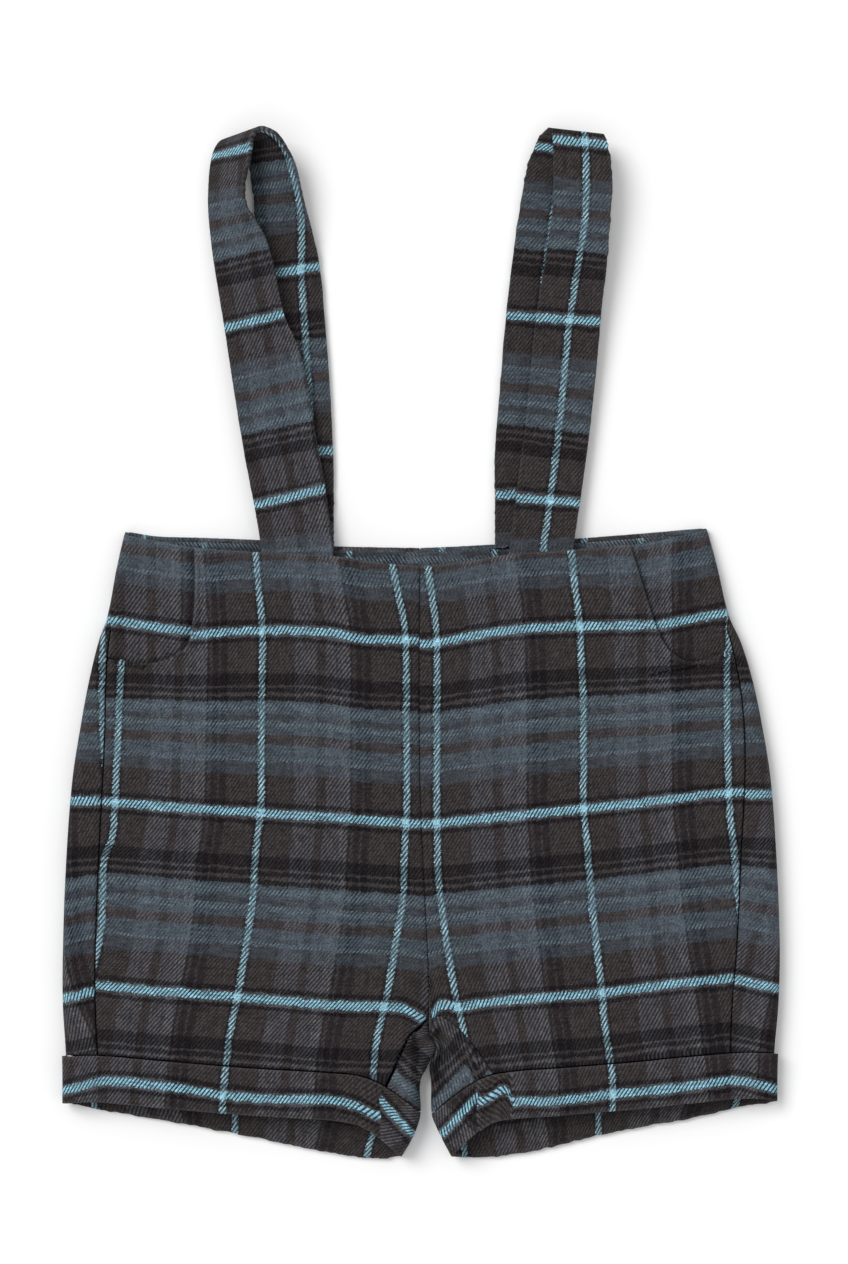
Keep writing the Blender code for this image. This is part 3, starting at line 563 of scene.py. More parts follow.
def tartan_weave():
    """Node group: the twill's colour, relief and roughness from the threads' coordinates."""
    group = bpy.data.node_groups.new("tartan_twill", "ShaderNodeTree")
    for name, kind in (("Threads", "NodeSocketVector"), ("Twill", "NodeSocketFloat"),
                       ("Nap", "NodeSocketFloat"), ("Edge wear and highlight", "NodeSocketFloat")):
        group.interface.new_socket(name, in_out="INPUT", socket_type=kind)
    for name, kind in (("Color", "NodeSocketColor"), ("Height", "NodeSocketFloat"),
                       ("Roughness", "NodeSocketFloat")):
        group.interface.new_socket(name, in_out="OUTPUT", socket_type=kind)
    given = group.nodes.new("NodeGroupInput")
    result = group.nodes.new("NodeGroupOutput")
    threads = given.outputs["Threads"]

    def noise_at(scale, detail, stretch=(1.0, 1.0, 1.0), turn=0.0):
        """Noise over the threads' coordinates; scale is in waves to 100 mm."""
        placed = node_value(group, "ShaderNodeMapping", [("Vector", threads), ("Scale", stretch),
                                                         ("Rotation", (0.0, 0.0, turn))])
        return node_value(group, "ShaderNodeTexNoise", [("Vector", placed.outputs[0]),
                                                        ("Scale", scale), ("Detail", detail),
                                                        ("Roughness", 0.6)])

    def spread(value, low, high, start=0.33, end=0.67):
        """Low to high as the value goes from start to end, which are where most noise lies."""
        return node_value(group, "ShaderNodeMapRange", [("Value", value), ("From Min", start),
                                                        ("From Max", end), ("To Min", low),
                                                        ("To Max", high)]).outputs[0]

    def times(color, factor):
        return node_value(group, "ShaderNodeVectorMath", [(0, color), ("Scale", factor)],
                          operation="SCALE").outputs[0]

    def offset(noise_node, amount):
        centred = node_value(group, "ShaderNodeVectorMath",
                             [(0, noise_node.outputs["Color"]), (1, (0.5, 0.5, 0.5))],
                             operation="SUBTRACT")
        return times(centred.outputs[0], amount)

    # threads wander a little over a long way, and the nap frays every stripe's edge
    grain = noise_at(165.0, 3.0)
    moved = threads
    for part in (offset(noise_at(22.0, 2.0), 0.016), offset(grain, 0.036)):
        moved = node_value(group, "ShaderNodeVectorMath", [(0, moved), (1, part)]).outputs[0]
    parts = node_value(group, "ShaderNodeSeparateXYZ", [(0, moved)])
    stripes_of = []
    for at, repeat, bands, stretch in (
            (parts.outputs[0], WARP_REPEAT, WARP_BANDS, (1.0, 0.12, 1.0)),
            (parts.outputs[1], WEFT_REPEAT, WEFT_BANDS, (0.12, 1.0, 1.0))):
        phase = math_value(group, "FRACT", math_value(group, "MULTIPLY", at, 100.0 / repeat))
        yarn = stripes(group, phase, [(start / repeat, color) for start, color in bands])
        streak = noise_at(105.0, 3.0, stretch)
        stripes_of.append(times(yarn, spread(streak.outputs[0], 0.55, 1.45)))
    warp, weft = stripes_of
    # painted shade: threads are drawn darker where they sink among much darker or much brighter
    # ones, a shadow between the threads painted into their colour; where two bright lines cross
    # neither is
    weft_light, warp_light = (node_value(group, "ShaderNodeRGBToBW", [(0, yarn)]).outputs[0]
                              for yarn in (weft, warp))
    crossing = math_value(group, "MULTIPLY", spread(weft_light, 0.0, 1.0, 0.22, 0.34),
                          spread(warp_light, 0.0, 1.0, 0.16, 0.28))
    warp = times(times(warp, spread(weft_light, 0.42, 1.0, 0.006, 0.020)),
                 math_value(group, "MAXIMUM", spread(weft_light, 1.0, 0.38, 0.035, 0.20), crossing))
    weft = times(weft, math_value(group, "MAXIMUM", spread(warp_light, 1.0, 0.55, 0.13, 0.30),
                                  crossing))

    # the twill's ribs lie half as far apart again along the cloth as across it
    plain = node_value(group, "ShaderNodeSeparateXYZ", [(0, threads)])
    slant = math_value(group, "MULTIPLY", plain.outputs[1], given.outputs["Twill"])
    rib = math_value(group, "MULTIPLY_ADD", slant, RIB_SLOPE, plain.outputs[0])
    jitter = math_value(group, "SUBTRACT", grain.outputs[0], 0.5)
    jitter = math_value(group, "MULTIPLY", jitter, 0.005)
    rib = math_value(group, "MULTIPLY", math_value(group, "ADD", rib, jitter),
                     100.0 / TWILL_RIB * 2 * math.pi)
    wave = math_value(group, "SINE", rib)
    over = node_value(group, "ShaderNodeMapRange", [("Value", wave), ("From Min", -0.5),
                                                    ("From Max", 0.4)],
                      interpolation_type="SMOOTHSTEP").outputs[0]
    cloth = color_mix(group, over, warp, weft)

    # the brushed nap veils the ribs in patches, and its fibres catch light of their own
    patches = noise_at(38.0, 4.0)
    veil = math_value(group, "MULTIPLY", spread(patches.outputs[0], 0.0, 0.60),
                      given.outputs["Nap"])
    veil = math_value(group, "MULTIPLY", veil, spread(weft_light, 1.0, 0.25, 0.10, 0.35))
    napped = color_mix(group, veil, cloth, color_mix(group, 0.52, warp, weft))
    # painted shade in the twill's grooves: the colour darkens along every rib, and the grain's
    # speckle is laid over it
    groove_shade = math_value(group, "MULTIPLY_ADD", wave, -0.22, 1.0)
    grain_and_groove_shade = math_value(group, "MULTIPLY", spread(grain.outputs[0], 0.55, 1.40), groove_shade)
    shaded = times(napped, math_value(group, "MULTIPLY", grain_and_groove_shade,
                                      spread(patches.outputs[0], 0.80, 1.18)))
    fibres = noise_at(260.0, 2.0, (1.0, 0.25, 1.0), 0.75)
    lint = color_mix(group, spread(fibres.outputs[0], 0.0, 0.22, 0.56, 0.80), shaded, LINT)
    # edges are drawn paler: partly the nap rubbed pale, partly a painted highlight on the rolled
    # edges
    wear_and_highlight_share = math_value(group, "MULTIPLY", given.outputs["Edge wear and highlight"],
                     spread(grain.outputs[0], 0.10, 0.62))
    group.links.new(color_mix(group, wear_and_highlight_share, lint, WORN_AND_LIT_PALE), result.inputs["Color"])
    fuzz = math_value(group, "ADD", grain.outputs[0], patches.outputs[0])
    relief = math_value(group, "MULTIPLY_ADD", wave, 0.35, fuzz)
    group.links.new(relief, result.inputs["Height"])
    group.links.new(spread(grain.outputs[0], 0.84, 1.0), result.inputs["Roughness"])
    return group


TARTAN = tartan_weave()


def flannel(name, turn=(0.0, 0.0), scale=(1.0, 1.0), twill=1.0, nap=1.0):
    """Brushed flannel in the plaid. turn moves the threads' coordinates, in millimetres, and twill
    is 1 where the ribs climb to the right and -1 where the threads are counted the other way."""
    material = bpy.data.materials.new(name)
    material.use_nodes = True
    tree = material.node_tree
    shader = tree.nodes["Principled BSDF"]
    uv = node_value(tree, "ShaderNodeUVMap", uv_map="threads")
    mapping = node_value(tree, "ShaderNodeMapping", [
        ("Vector", uv.outputs[0]), ("Location", (turn[0] * 0.01, turn[1] * 0.01, 0.0)),
        ("Scale", (scale[0], scale[1], 1.0))])
    weave = tree.nodes.new("ShaderNodeGroup")
    weave.node_tree = TARTAN
    tree.links.new(mapping.outputs[0], weave.inputs["Threads"])
    weave.inputs["Twill"].default_value = twill
    weave.inputs["Nap"].default_value = nap
    # the piece's paler edges, rubbed nap and a painted highlight on rolled edges, come from its own
    # attribute
    edge_wear_and_highlight = node_value(tree, "ShaderNodeAttribute", attribute_name="edge_wear_and_highlight")
    tree.links.new(edge_wear_and_highlight.outputs["Fac"], weave.inputs["Edge wear and highlight"])
    tree.links.new(weave.outputs["Color"], shader.inputs["Base Color"])
    tree.links.new(weave.outputs["Roughness"], shader.inputs["Roughness"])
    bump_node = node_value(tree, "ShaderNodeBump", [("Height", weave.outputs["Height"]),
                                                    ("Strength", 0.4), ("Distance", 0.0005)])
    tree.links.new(bump_node.outputs[0], shader.inputs["Normal"])
    shader.inputs["Specular IOR Level"].default_value = 0.10
    shader.inputs["Sheen Weight"].default_value = 0.02
    shader.inputs["Sheen Roughness"].default_value = 0.5
    return material


# Where the plaid lies on the back panels' turned sides: the weft's coordinate at heights down the
# page, and the warp's at the side seam. The grain runs on from there round the whole panel.
#                y       left    right
BACK_WEFT = ((60.0,    -50.3,  -47.3),
             (11.2,    -1.5,   1.5),
             (-66.0,   77.1,   79.9),
             (-146.3,  154.7,  159.9),
             (-230.0,  238.4,  243.6))
#                     y      left    right
BACK_SEAM_WARP = ((50.0,   16.0,  2.6),
                  (22.0,   10.0,  2.6),
                  (10.0,   5.2,   2.6),
                  (3.0,    3.3,   2.8),
                  (-15.0,  1.4,   3.0),
                  (-40.0,  0.6,   4.0),
                  (-52.0,  -1.0,  5.0),
                  (-76.0,  -5.4,  7.6),
                  (-100.0, -7.0,  13.0),
                  (-120.0, -9.0,  17.5),
                  (-140.0, -12.5, 21.0),
                  (-158.0, -18.5, 24.0),
                  (-175.0, -24.6, 26.6),
                  (-230.0, -27.0, 28.0))

WEFT_END = 2.0 * WEFT_REPEAT + 29.6     # the dark band above the cuffs, where the weft is cut off
SLATE_START, SLATE_SKIPPED = 35.0, 9.8  # on the inner legs just the slate band's first part shows

for side in (LEFT, RIGHT):
    levels = np.linspace(52.0, -206.0, 260)
    sections = [spread_evenly(*back_section(side, y), 240, 2.5) for y in levels]
    outs, heights, lengths = (np.array([section[k] for section in sections]) for k in range(3))
    s = shares(150, 190.0)[None, :]
    body = np.linspace(0.0, 1.0, 150)[:, None] ** 0.97
    y = np.full((len(body), s.shape[1]), BACK_WAIST[side](0.0))
    for _ in range(10):
        out = between(outs, s + 0 * y, y, levels)
        top = BACK_WAIST[side](out)
        y = top + (CROTCH_Y + 0.3 - top) * body
    leg = np.linspace(0.0, 1.0, 40)[:, None]
    low = np.full((len(leg), s.shape[1]), -175.0)
    for _ in range(12):
        out_leg = between(outs, s + 0 * low, low, levels)
        z = between(heights, s + 0 * low, low, levels)
        high = np.clip(z / crown(side, out_leg, low), 0.0, 1.0)
        foot = cuff_y(side, out_leg, high, 0.0) + CUFF_GAP / 2
        low = CROTCH_Y - SEAM_GAP + (foot - CROTCH_Y + SEAM_GAP) * leg
    y = np.concatenate((y, low))
    spread = s + 0 * y
    out, z = between(outs, spread, y, levels), between(heights, spread, y, levels)
    from_seam = between(lengths, 1.0 + 0 * spread, y, levels) - between(lengths, spread, y, levels)
    inner_leg = ((y < CROTCH_Y) & (z > 1.0) & (spread < 0.4)).astype(int)
    on_top = z > np.where(spread < 0.5, INNER_HALF_HEIGHT, 0.5 * FOLD_HEIGHT(y))
    z = z - on_top * (top_height(side, out, y, False) - top_height(side, out, y))
    points = np.stack((SIGN[side] * out, y, z), axis=2)
    points = rolled(points, (None, (0.9, 2.2), (0.5, 1.2), None))
    column = 1 if side == LEFT else 2
    u = curve(BACK_SEAM_WARP, column)(y) + SIGN[side] * from_seam
    slope = 0.21 * rise(-70.0, -125.0, y)
    v = np.minimum(curve(BACK_WEFT, column)(y) - slope * np.minimum(from_seam, 22.0), WEFT_END)
    # round the inner leg the grain turns with the leg: down runs towards the hem
    x = SIGN[side] * out
    if side == LEFT:
        along, down = 0.72 * x - 0.69 * y - 28.0, -0.69 * x - 0.72 * y - 107.9
    else:
        along = 0.69 * x + 0.73 * y + 18.0
        down = 0.73 * x - 0.69 * y - 108.0 - 9.0 * rise(19.0, 24.0, x)
    skipped = SLATE_SKIPPED * rise(SLATE_START, SLATE_START + 1.0, down)
    turned = np.stack((along, down + skipped), axis=2)
    panel = laid_cloth(f"back_{side}_cloth", tugged(points), [np.stack((u, v), axis=2), turned],
                       PANEL_WALL, [flannel(f"flannel_back_{side}")], False, zones=inner_leg)
    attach(panel, "root")
    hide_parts(f"back_{side}")


# The band inside the back waist: the same flannel with its wrong side up, so its twill runs the
# other way. It is turned over the back's upper edge, which shows as a bumpy rolled rim.
FACING_WALL = 1.1
CAD_WALL = 1.4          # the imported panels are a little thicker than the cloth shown
BAND_DEPTH, BAND_INSET, BAND_REACH = 26.0, 1.6, 117.0

across = shares(260, 234.0)
down = np.concatenate((np.linspace(0.0, 0.12, 10)[:-1], np.linspace(0.12, 1.0, 22)))
x = BAND_REACH * (2.0 * across - 1.0)
edge = np.where(x < 0, BACK_WAIST[LEFT](abs(x)), BACK_WAIST[RIGHT](abs(x)))
points = np.zeros((len(down), len(across), 3))
points[:, :, 0] = x
points[:, :, 1] = edge - BAND_INSET - BAND_DEPTH * down[:, None]
points[:, :, 2] = CAD_WALL + SEAM_GAP + FACING_WALL
points = rolled(points, (None, None, (0.6, 1.3), None))
weave = np.stack((-points[:, :, 0] - 30.5, -points[:, :, 1] + 76.0), axis=2)
band = laid_cloth("back_waist_band", points, [weave], FACING_WALL,
                  [flannel("flannel_band", nap=0.5)], True)
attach(band, "root")
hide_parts("back_waist_facing")


# The hip pieces that show above the two slanting pocket openings. Each is sewn into the waist and
# the side seam, and runs on under the front panel as the pocket's back.
POCKET_DROP, POCKET_DROP_OVER = 2.1, 7.0    # lower away from the side seam, under the front
OVER_SEAM, OVER_FROM, OVER_TO = 2.6, 4.0, 12.0  # above these heights it laps over the side seam

# The pocket's edge on the front, from the waist to the side seam
#           left out  left y   right out  right y
POCKET = ((96.9,      40.7,    89.7,      41.4),
          (96.6,      22.6,    94.6,      25.2),
          (97.5,      9.2,     98.3,      13.5),
          (100.1,     -1.1,    101.5,     4.5),
          (104.8,     -5.4,    105.9,     -3.2),
          (113.0,     -8.4,    115.0,     -9.0),
          (125.5,     -8.9,    124.6,     -8.8),
          (133.4,     -6.8,    133.0,     -4.5))

# The facing's edges under the front, down its inner side and along its foot
#                   left out  left y   right out  right y
FACING_HIDDEN = ((87.5,      40.0,    81.5,      40.4),
                 (88.0,      22.0,    86.0,      22.5),
                 (89.0,      8.0,     90.0,      10.0),
                 (92.8,      -6.0,    93.8,      1.0),
                 (101.0,     -13.0,   99.5,      -9.0),
                 (112.0,     -16.0,   112.0,     -16.0))

#                  left out  left y   right out  right y
FACING_FOOT = ((133.3,      -6.4,    132.9,      -4.1),
               (129.5,      -8.2,    129.0,      -7.0),
               (125.0,      -10.4,   125.0,      -10.2),
               (119.0,      -13.4,   119.0,      -13.4),
               (112.0,      -16.0,   112.0,      -16.0))

# y of the blue weft line across the facings, at distances out, and x of their blue warp line
#                out     left   right
FACING_WEFT = ((140.0,   10.4,  14.4),
               (129.0,   9.0,   12.5),
               (115.6,   7.1,   10.2),
               (110.6,   6.5,   9.2),
               (98.5,    4.9,   6.7),
               (80.0,    3.0,   4.0))
FACING_WARP = {LEFT: -141.0, RIGHT: 131.7}


def off_line(line, out, y):
    """Distance of places in plan from a line of points."""
    return np.min([np.hypot(out - a, y - b) for a, b in line], axis=0)


def smooth_line(table, first, count):
    """A curve in plan through two columns of a table, in points evenly spaced along it."""
    rows = np.array(table)[:, first:first + 2]
    lengths = np.append(0.0, np.cumsum(np.linalg.norm(np.diff(rows, axis=0), axis=1)))
    goals = np.linspace(0.0, lengths[-1], count + 1)
    return np.stack([curve(tuple(zip(lengths, rows[:, k])), 1)(goals) for k in (0, 1)], axis=1)


def read_line(points, keys):
    """Points of a line of equal steps at shares of its way."""
    steps = np.linspace(0.0, 1.0, len(points))
    return np.stack([np.interp(keys, steps, points[:, k]) for k in (0, 1)], axis=-1)


def patch(first, last, top, bottom, s, t):
    """Points in plan between four edges: first and last run down, at shares t of the way, and top
    and bottom across, at shares s."""
    s, t = s[None, :, None], t[:, None, None]
    sides = (1 - s) * first[:, None] + s * last[:, None]
    ends = (1 - t) * top[None] + t * bottom[None]
    corners = ((1 - s) * (1 - t) * first[0] + s * (1 - t) * last[0]
               + (1 - s) * t * first[-1] + s * t * last[-1])
    return sides + ends - corners


for side in (LEFT, RIGHT):
    first = 0 if side == LEFT else 2
    s, t = shares(70, 46.0), shares(90, 52.0)
    hidden = read_line(smooth_line(FACING_HIDDEN, first, 64), t)
    foot = read_line(smooth_line(FACING_FOOT, first, 64), s)
    corner_y = FRONT_WAIST[side](seam_out(side, 46.0))
    y = corner_y + (foot[0, 1] - corner_y) * t
    over = rise(OVER_FROM, OVER_TO, y)
    outer = np.stack((seam_out(side, y) - SIDE_GAP / 2 + OVER_SEAM * over, y), axis=1)
    outer[-1] = foot[0]
    out = outer[0, 0] + (hidden[0, 0] - outer[0, 0]) * s
    tuck = hidden[0, 1] - FRONT_WAIST[side](hidden[0, 0])
    top = np.stack((out, FRONT_WAIST[side](out) + tuck * s ** 2), axis=1)
    plan = patch(outer, hidden, top, foot, s, t)
    out, y = plan[:, :, 0], plan[:, :, 1]
    z = top_height(side, out, y)
    z = z - POCKET_DROP * rise(0.0, POCKET_DROP_OVER, seam_out(side, y) - out)
    z = z - np.exp(-(off_line(smooth_line(POCKET, first, 60), out, y) / 1.3) ** 2)
    over = rise(OVER_FROM, OVER_TO, y)
    turned_in = 1.0 - rounding(np.maximum(seam_out(side, y) - out, 0.0), 1.5)
    z = z + 0.3 * over - 0.8 * (1.0 - over) * turned_in
    points = np.stack((SIGN[side] * out, y, z), axis=2)
    points = rolled(points, (None, None, (0.7, 1.3), (0.5, 1.0)))
    column = 1 if side == LEFT else 2
    weave = np.stack((points[:, :, 0] - FACING_WARP[side],
                      curve(FACING_WEFT, column)(out) - y), axis=2)
    # the facing's edges are drawn paler: the nap rubbed pale and a painted highlight on their
    # rolled edges
    facing = laid_cloth(f"pocket_facing_{side}_cloth", points, [weave], FACING_WALL,
                        [flannel(f"flannel_facing_{side}")], True,
                        wear_and_highlight=near_edges(points, (0.8, None, 1.4, None)))
    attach(facing, "root")
    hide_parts(f"pocket_facing_{side}")


# The two front panels, cut away in a curve at the pocket and joined down the middle. The plaid is
# matched at the middle seam and droops a little where the cloth was smoothed by hand.
POCKET_SHARE, CROTCH_SHARE = 7 / 23, 18 / 23    # how far down the edges the pocket and crotch lie

# x of the blue warp lines at heights: three on each panel, one repeat apart
#               y       left outer  middle   inner    right inner  middle  outer
FRONT_WARP = ((46.0,    -128.2,     -71.2,   -14.0,   1.6,         63.6,   131.7),
              (32.0,    -128.2,     -70.1,   -12.0,   3.1,         64.8,   131.7),
              (6.0,     -128.2,     -67.8,   -7.0,    6.4,         67.9,   131.7),
              (-10.0,   -128.2,     -67.8,   -6.3,    6.9,         68.6,   130.8),
              (-22.0,   -128.7,     -67.9,   -6.2,    6.9,         69.2,   130.8),
              (-45.0,   -129.7,     -68.1,   -6.1,    6.8,         69.4,   131.0),
              (-72.0,   -130.9,     -68.4,   -6.1,    6.8,         69.5,   131.9),
              (-85.0,   -132.3,     -70.0,   -6.8,    7.0,         70.8,   133.3),
              (-91.0,   -135.0,     -70.6,   -7.0,    7.1,         71.3,   133.9),
              (-108.0,  -136.0,     -71.7,   -7.5,    8.2,         72.7,   135.5),
              (-120.0,  -136.4,     -73.2,   -9.4,    9.8,         73.9,   137.0),
              (-133.0,  -138.6,     -75.2,   -11.5,   11.7,        75.4,   139.0),
              (-150.0,  -143.2,     -78.0,   -14.4,   14.6,        77.2,   142.6),
              (-167.0,  -146.0,     -81.5,   -18.4,   18.4,        78.9,   145.2),
              (-186.0,  -148.0,     -83.8,   -20.6,   22.0,        81.6,   148.0),
              (-200.0,  -149.0,     -84.9,   -21.4,   24.0,        81.6,   149.0))

# y of the three blue weft lines, at distances out
#               out     left upper  middle   lower     right upper  middle   lower
FRONT_WEFT = ((140.0,   4.0,        -67.3,   -146.2,   8.5,         -63.4,   -142.6),
              (119.0,   4.0,        -69.0,   -148.2,   8.0,         -65.1,   -144.6),
              (98.5,    3.7,        -70.7,   -149.7,   7.5,         -67.7,   -146.6),
              (77.5,    4.9,        -72.0,   -151.1,   7.3,         -69.9,   -149.4),
              (57.0,    5.4,        -73.3,   -153.0,   6.8,         -72.0,   -151.0),
              (38.0,    4.1,        -74.5,   -154.6,   5.5,         -74.0,   -152.6),
              (25.0,    1.7,        -75.5,   -155.1,   3.4,         -75.3,   -154.0),
              (15.0,    1.3,        -76.4,   -155.2,   1.6,         -76.3,   -155.4),
              (9.0,     1.2,        -76.8,   -155.6,   0.5,         -76.9,   -154.4),
              (5.0,     1.1,        -77.1,   -156.4,   -0.3,        -77.4,   -156.0),
              (0.0,     1.0,        -77.4,   -157.2,   -0.6,        -77.6,   -158.4),
              (-4.0,    1.0,        -77.6,   -158.6,   -0.8,        -77.8,   -160.0))


def between_lines(value, lines, numbers):
    """Thread coordinate of a place between lines that lie at known coordinates; past the first
    and the last one it goes on millimetre for millimetre."""
    result = np.where(value < lines[0], numbers[0] + (value - lines[0]),
                      numbers[-1] + (value - lines[-1]))
    for low, high, a, b in zip(lines, lines[1:], numbers, numbers[1:]):
        inside = (value >= low) & (value < high)
        result = np.where(inside, a + (b - a) * (value - low) / (high - low), result)
    return result


def front_weave(side, out, y):
    """Thread coordinates of a front panel at a place in plan."""
    first = 1 if side == LEFT else 4
    numbers = [WARP_REPEAT * (k - 2 if side == LEFT else k) for k in range(3)]
    u = between_lines(SIGN[side] * out,
                      [curve(FRONT_WARP, first + k)(y) for k in range(3)], numbers)
    v = between_lines(-y, [-curve(FRONT_WEFT, first + k)(out) for k in range(3)],
                      (0.0, WEFT_REPEAT, 2 * WEFT_REPEAT))
    return np.stack((u, v), axis=-1)


for side in (LEFT, RIGHT):
    first = 0 if side == LEFT else 2
    t = np.concatenate((
        POCKET_SHARE * shares(64, 62.0)[:-1],
        POCKET_SHARE + (CROTCH_SHARE - POCKET_SHARE) * np.linspace(0.0, 1.0, 90)[:-1],
        CROTCH_SHARE + (1 - CROTCH_SHARE) * shares(44, 28.0)))
    s = shares(130, 132.0)
    foot_y = cuff_y(side, seam_out(side, -178.0), 1.0, 0.0) + CUFF_GAP / 2
    pocket_part = read_line(smooth_line(POCKET, first, 96), np.clip(t / POCKET_SHARE, 0.0, 1.0))
    seam_top = smooth_line(POCKET, first, 7)[-1, 1]
    below = np.clip((t - POCKET_SHARE) / (1 - POCKET_SHARE), 0.0, 1.0)
    y = seam_top + (foot_y - seam_top) * below
    seam_part = np.stack((seam_out(side, y) - SIDE_GAP / 2, y), axis=1)
    outer = np.where(t[:, None] <= POCKET_SHARE, pocket_part, seam_part)
    top_y, lip_y = FRONT_WAIST[side](0.0), CROTCH_Y + 2 * SEAM_GAP
    y = top_y + (lip_y - top_y) * np.clip(t / CROTCH_SHARE, 0.0, 1.0)
    foot_y = cuff_y(side, SIGN[side] * INSEAM_X[side](-186.0), 1.0, 0.0) + CUFF_GAP / 2
    below = np.clip((t - CROTCH_SHARE) / (1 - CROTCH_SHARE), 0.0, 1.0)
    low = CROTCH_Y + (foot_y - CROTCH_Y) * below ** 1.35
    body_part = np.stack((inner_out(side, y) - 0.1, y), axis=1)
    inseam = np.maximum(SIGN[side] * INSEAM_X[side](low), inner_out(side, low)) + SIDE_GAP / 2
    leg_part = np.stack((inseam, low), axis=1)
    inner = np.where(t[:, None] <= CROTCH_SHARE, body_part, leg_part)
    out = outer[0, 0] + (inner[0, 0] - outer[0, 0]) * s
    top = np.stack((out, FRONT_WAIST[side](out)), axis=1)
    out = outer[-1, 0] + (inner[-1, 0] - outer[-1, 0]) * s
    bottom = np.stack((out, cuff_y(side, out, 1.0, 0.0) + CUFF_GAP / 2), axis=1)
    plan = patch(outer, inner, top, bottom, s, t)
    out, y = plan[:, :, 0], plan[:, :, 1]
    lift = 0.8 * np.exp(-(off_line(smooth_line(POCKET, first, 60), out, y) / 3.0) ** 2)
    points = np.stack((SIGN[side] * out, y, top_height(side, out, y) + lift), axis=2)
    weave = front_weave(side, out, y)
    weave[:, :, 1] = np.minimum(weave[:, :, 1], WEFT_END)
    points = rolled(points, ((0.9, 2.2), (0.9, 2.0), (0.8, 1.5), (0.3, 1.0)))
    points = tugged(uneven(points, 0.12, 9.0, 3.0 if side == LEFT else 7.0))
    # the waist and pocket edges are drawn paler: the nap rubbed pale, and a painted highlight where
    # the rolled edges catch light
    at_pocket = t[:, None] <= POCKET_SHARE + 0.004
    wear_and_highlight = np.maximum(near_edges(points, (1.3, None, 1.6, None)) * at_pocket,
                      near_edges(points, (None, None, 1.6, None)))
    panel = laid_cloth(f"front_{side}_cloth", points, [weave], PANEL_WALL,
                       [flannel(f"flannel_front_{side}")], True, wear_and_highlight=wear_and_highlight)
    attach(panel, "root")
    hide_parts(f"front_{side}")


# The cuffs: a doubled band of the same flannel round each leg, laid over the leg's end and topped
# by its own seam. The side seam and the inseam run on through them.
CUFF_CLOTH = 2.2
CUFF_PROUD, CUFF_RISE = 1.6, 1.0            # how far it stands out from the leg and above it

# y of the cuffs' blue weft line on the front, at distances out
#                 out     left front  right front
CUFF_WEFT = ((155.0,     -192.0,     -191.6),
             (138.6,     -187.6,     -187.2),
             (137.0,     -187.3,     -186.9),
             (110.0,     -189.0,     -189.9),
             (83.7,      -192.9,     -192.2),
             (56.0,      -194.8,     -195.4),
             (42.0,      -194.8,     -195.5),
             (39.0,      -194.8,     -195.5),
             (37.6,      -195.0,     -191.8),
             (27.5,      -197.6,     -195.2),
             (18.8,      -201.7,     -197.6),
             (10.0,      -205.0,     -203.0))
CUFF_SIDE_WARP = {LEFT: 38.0, RIGHT: 27.0}  # the warp's coordinate at the side seam, outside it
# How far out the cuff's two short seams lie on its front: at a small square piece and at the inseam
CUFF_SQUARES = {LEFT: 27.0, RIGHT: 38.5}
CUFF_INSEAMS = {LEFT: 17.8, RIGHT: 24.6}
CUFF_MARKS = {LEFT: 79.9, RIGHT: 76.2}      # where a blue warp line crosses the cuff's back


def cuff_section(side, y):
    """A leg's closed outer line at one height, from its inner fold along the table and back."""
    inner, edge = inner_out(side, y), EDGE[side](y) + CUFF_PROUD
    half, radius = 0.5 * (FOLD_HEIGHT(y) + CUFF_RISE), FOLD_RADIUS(y)
    inner_half = INNER_HALF_HEIGHT + 0.5 * CUFF_RISE
    top_out = np.concatenate((edge - radius * (1.0 - np.cos(QUARTER)),
                              np.linspace(edge - radius, inner + INNER_RADIUS, 60)[1:-1],
                              inner + INNER_RADIUS * (1.0 - np.cos(QUARTER[::-1]))))
    top = crown(side, np.minimum(top_out, edge - CUFF_PROUD), y) + CUFF_RISE
    top = half + (top - half) * rounding(edge - top_out, radius)
    top = inner_half + (top - inner_half) * rounding(top_out - inner, INNER_RADIUS)
    middle = np.linspace(inner + INNER_RADIUS, edge - radius, 30)[1:-1]
    outs = np.concatenate((inner + INNER_RADIUS * (1.0 - np.sin(QUARTER[::-1])), middle,
                           edge - radius * (1.0 - np.sin(QUARTER)), top_out))
    heights = np.concatenate((inner_half * (1.0 - np.cos(QUARTER[::-1])), 0.0 * middle,
                              half * (1.0 - np.cos(QUARTER)), top))
    return np.append(outs, outs[0]), np.append(heights, heights[0])


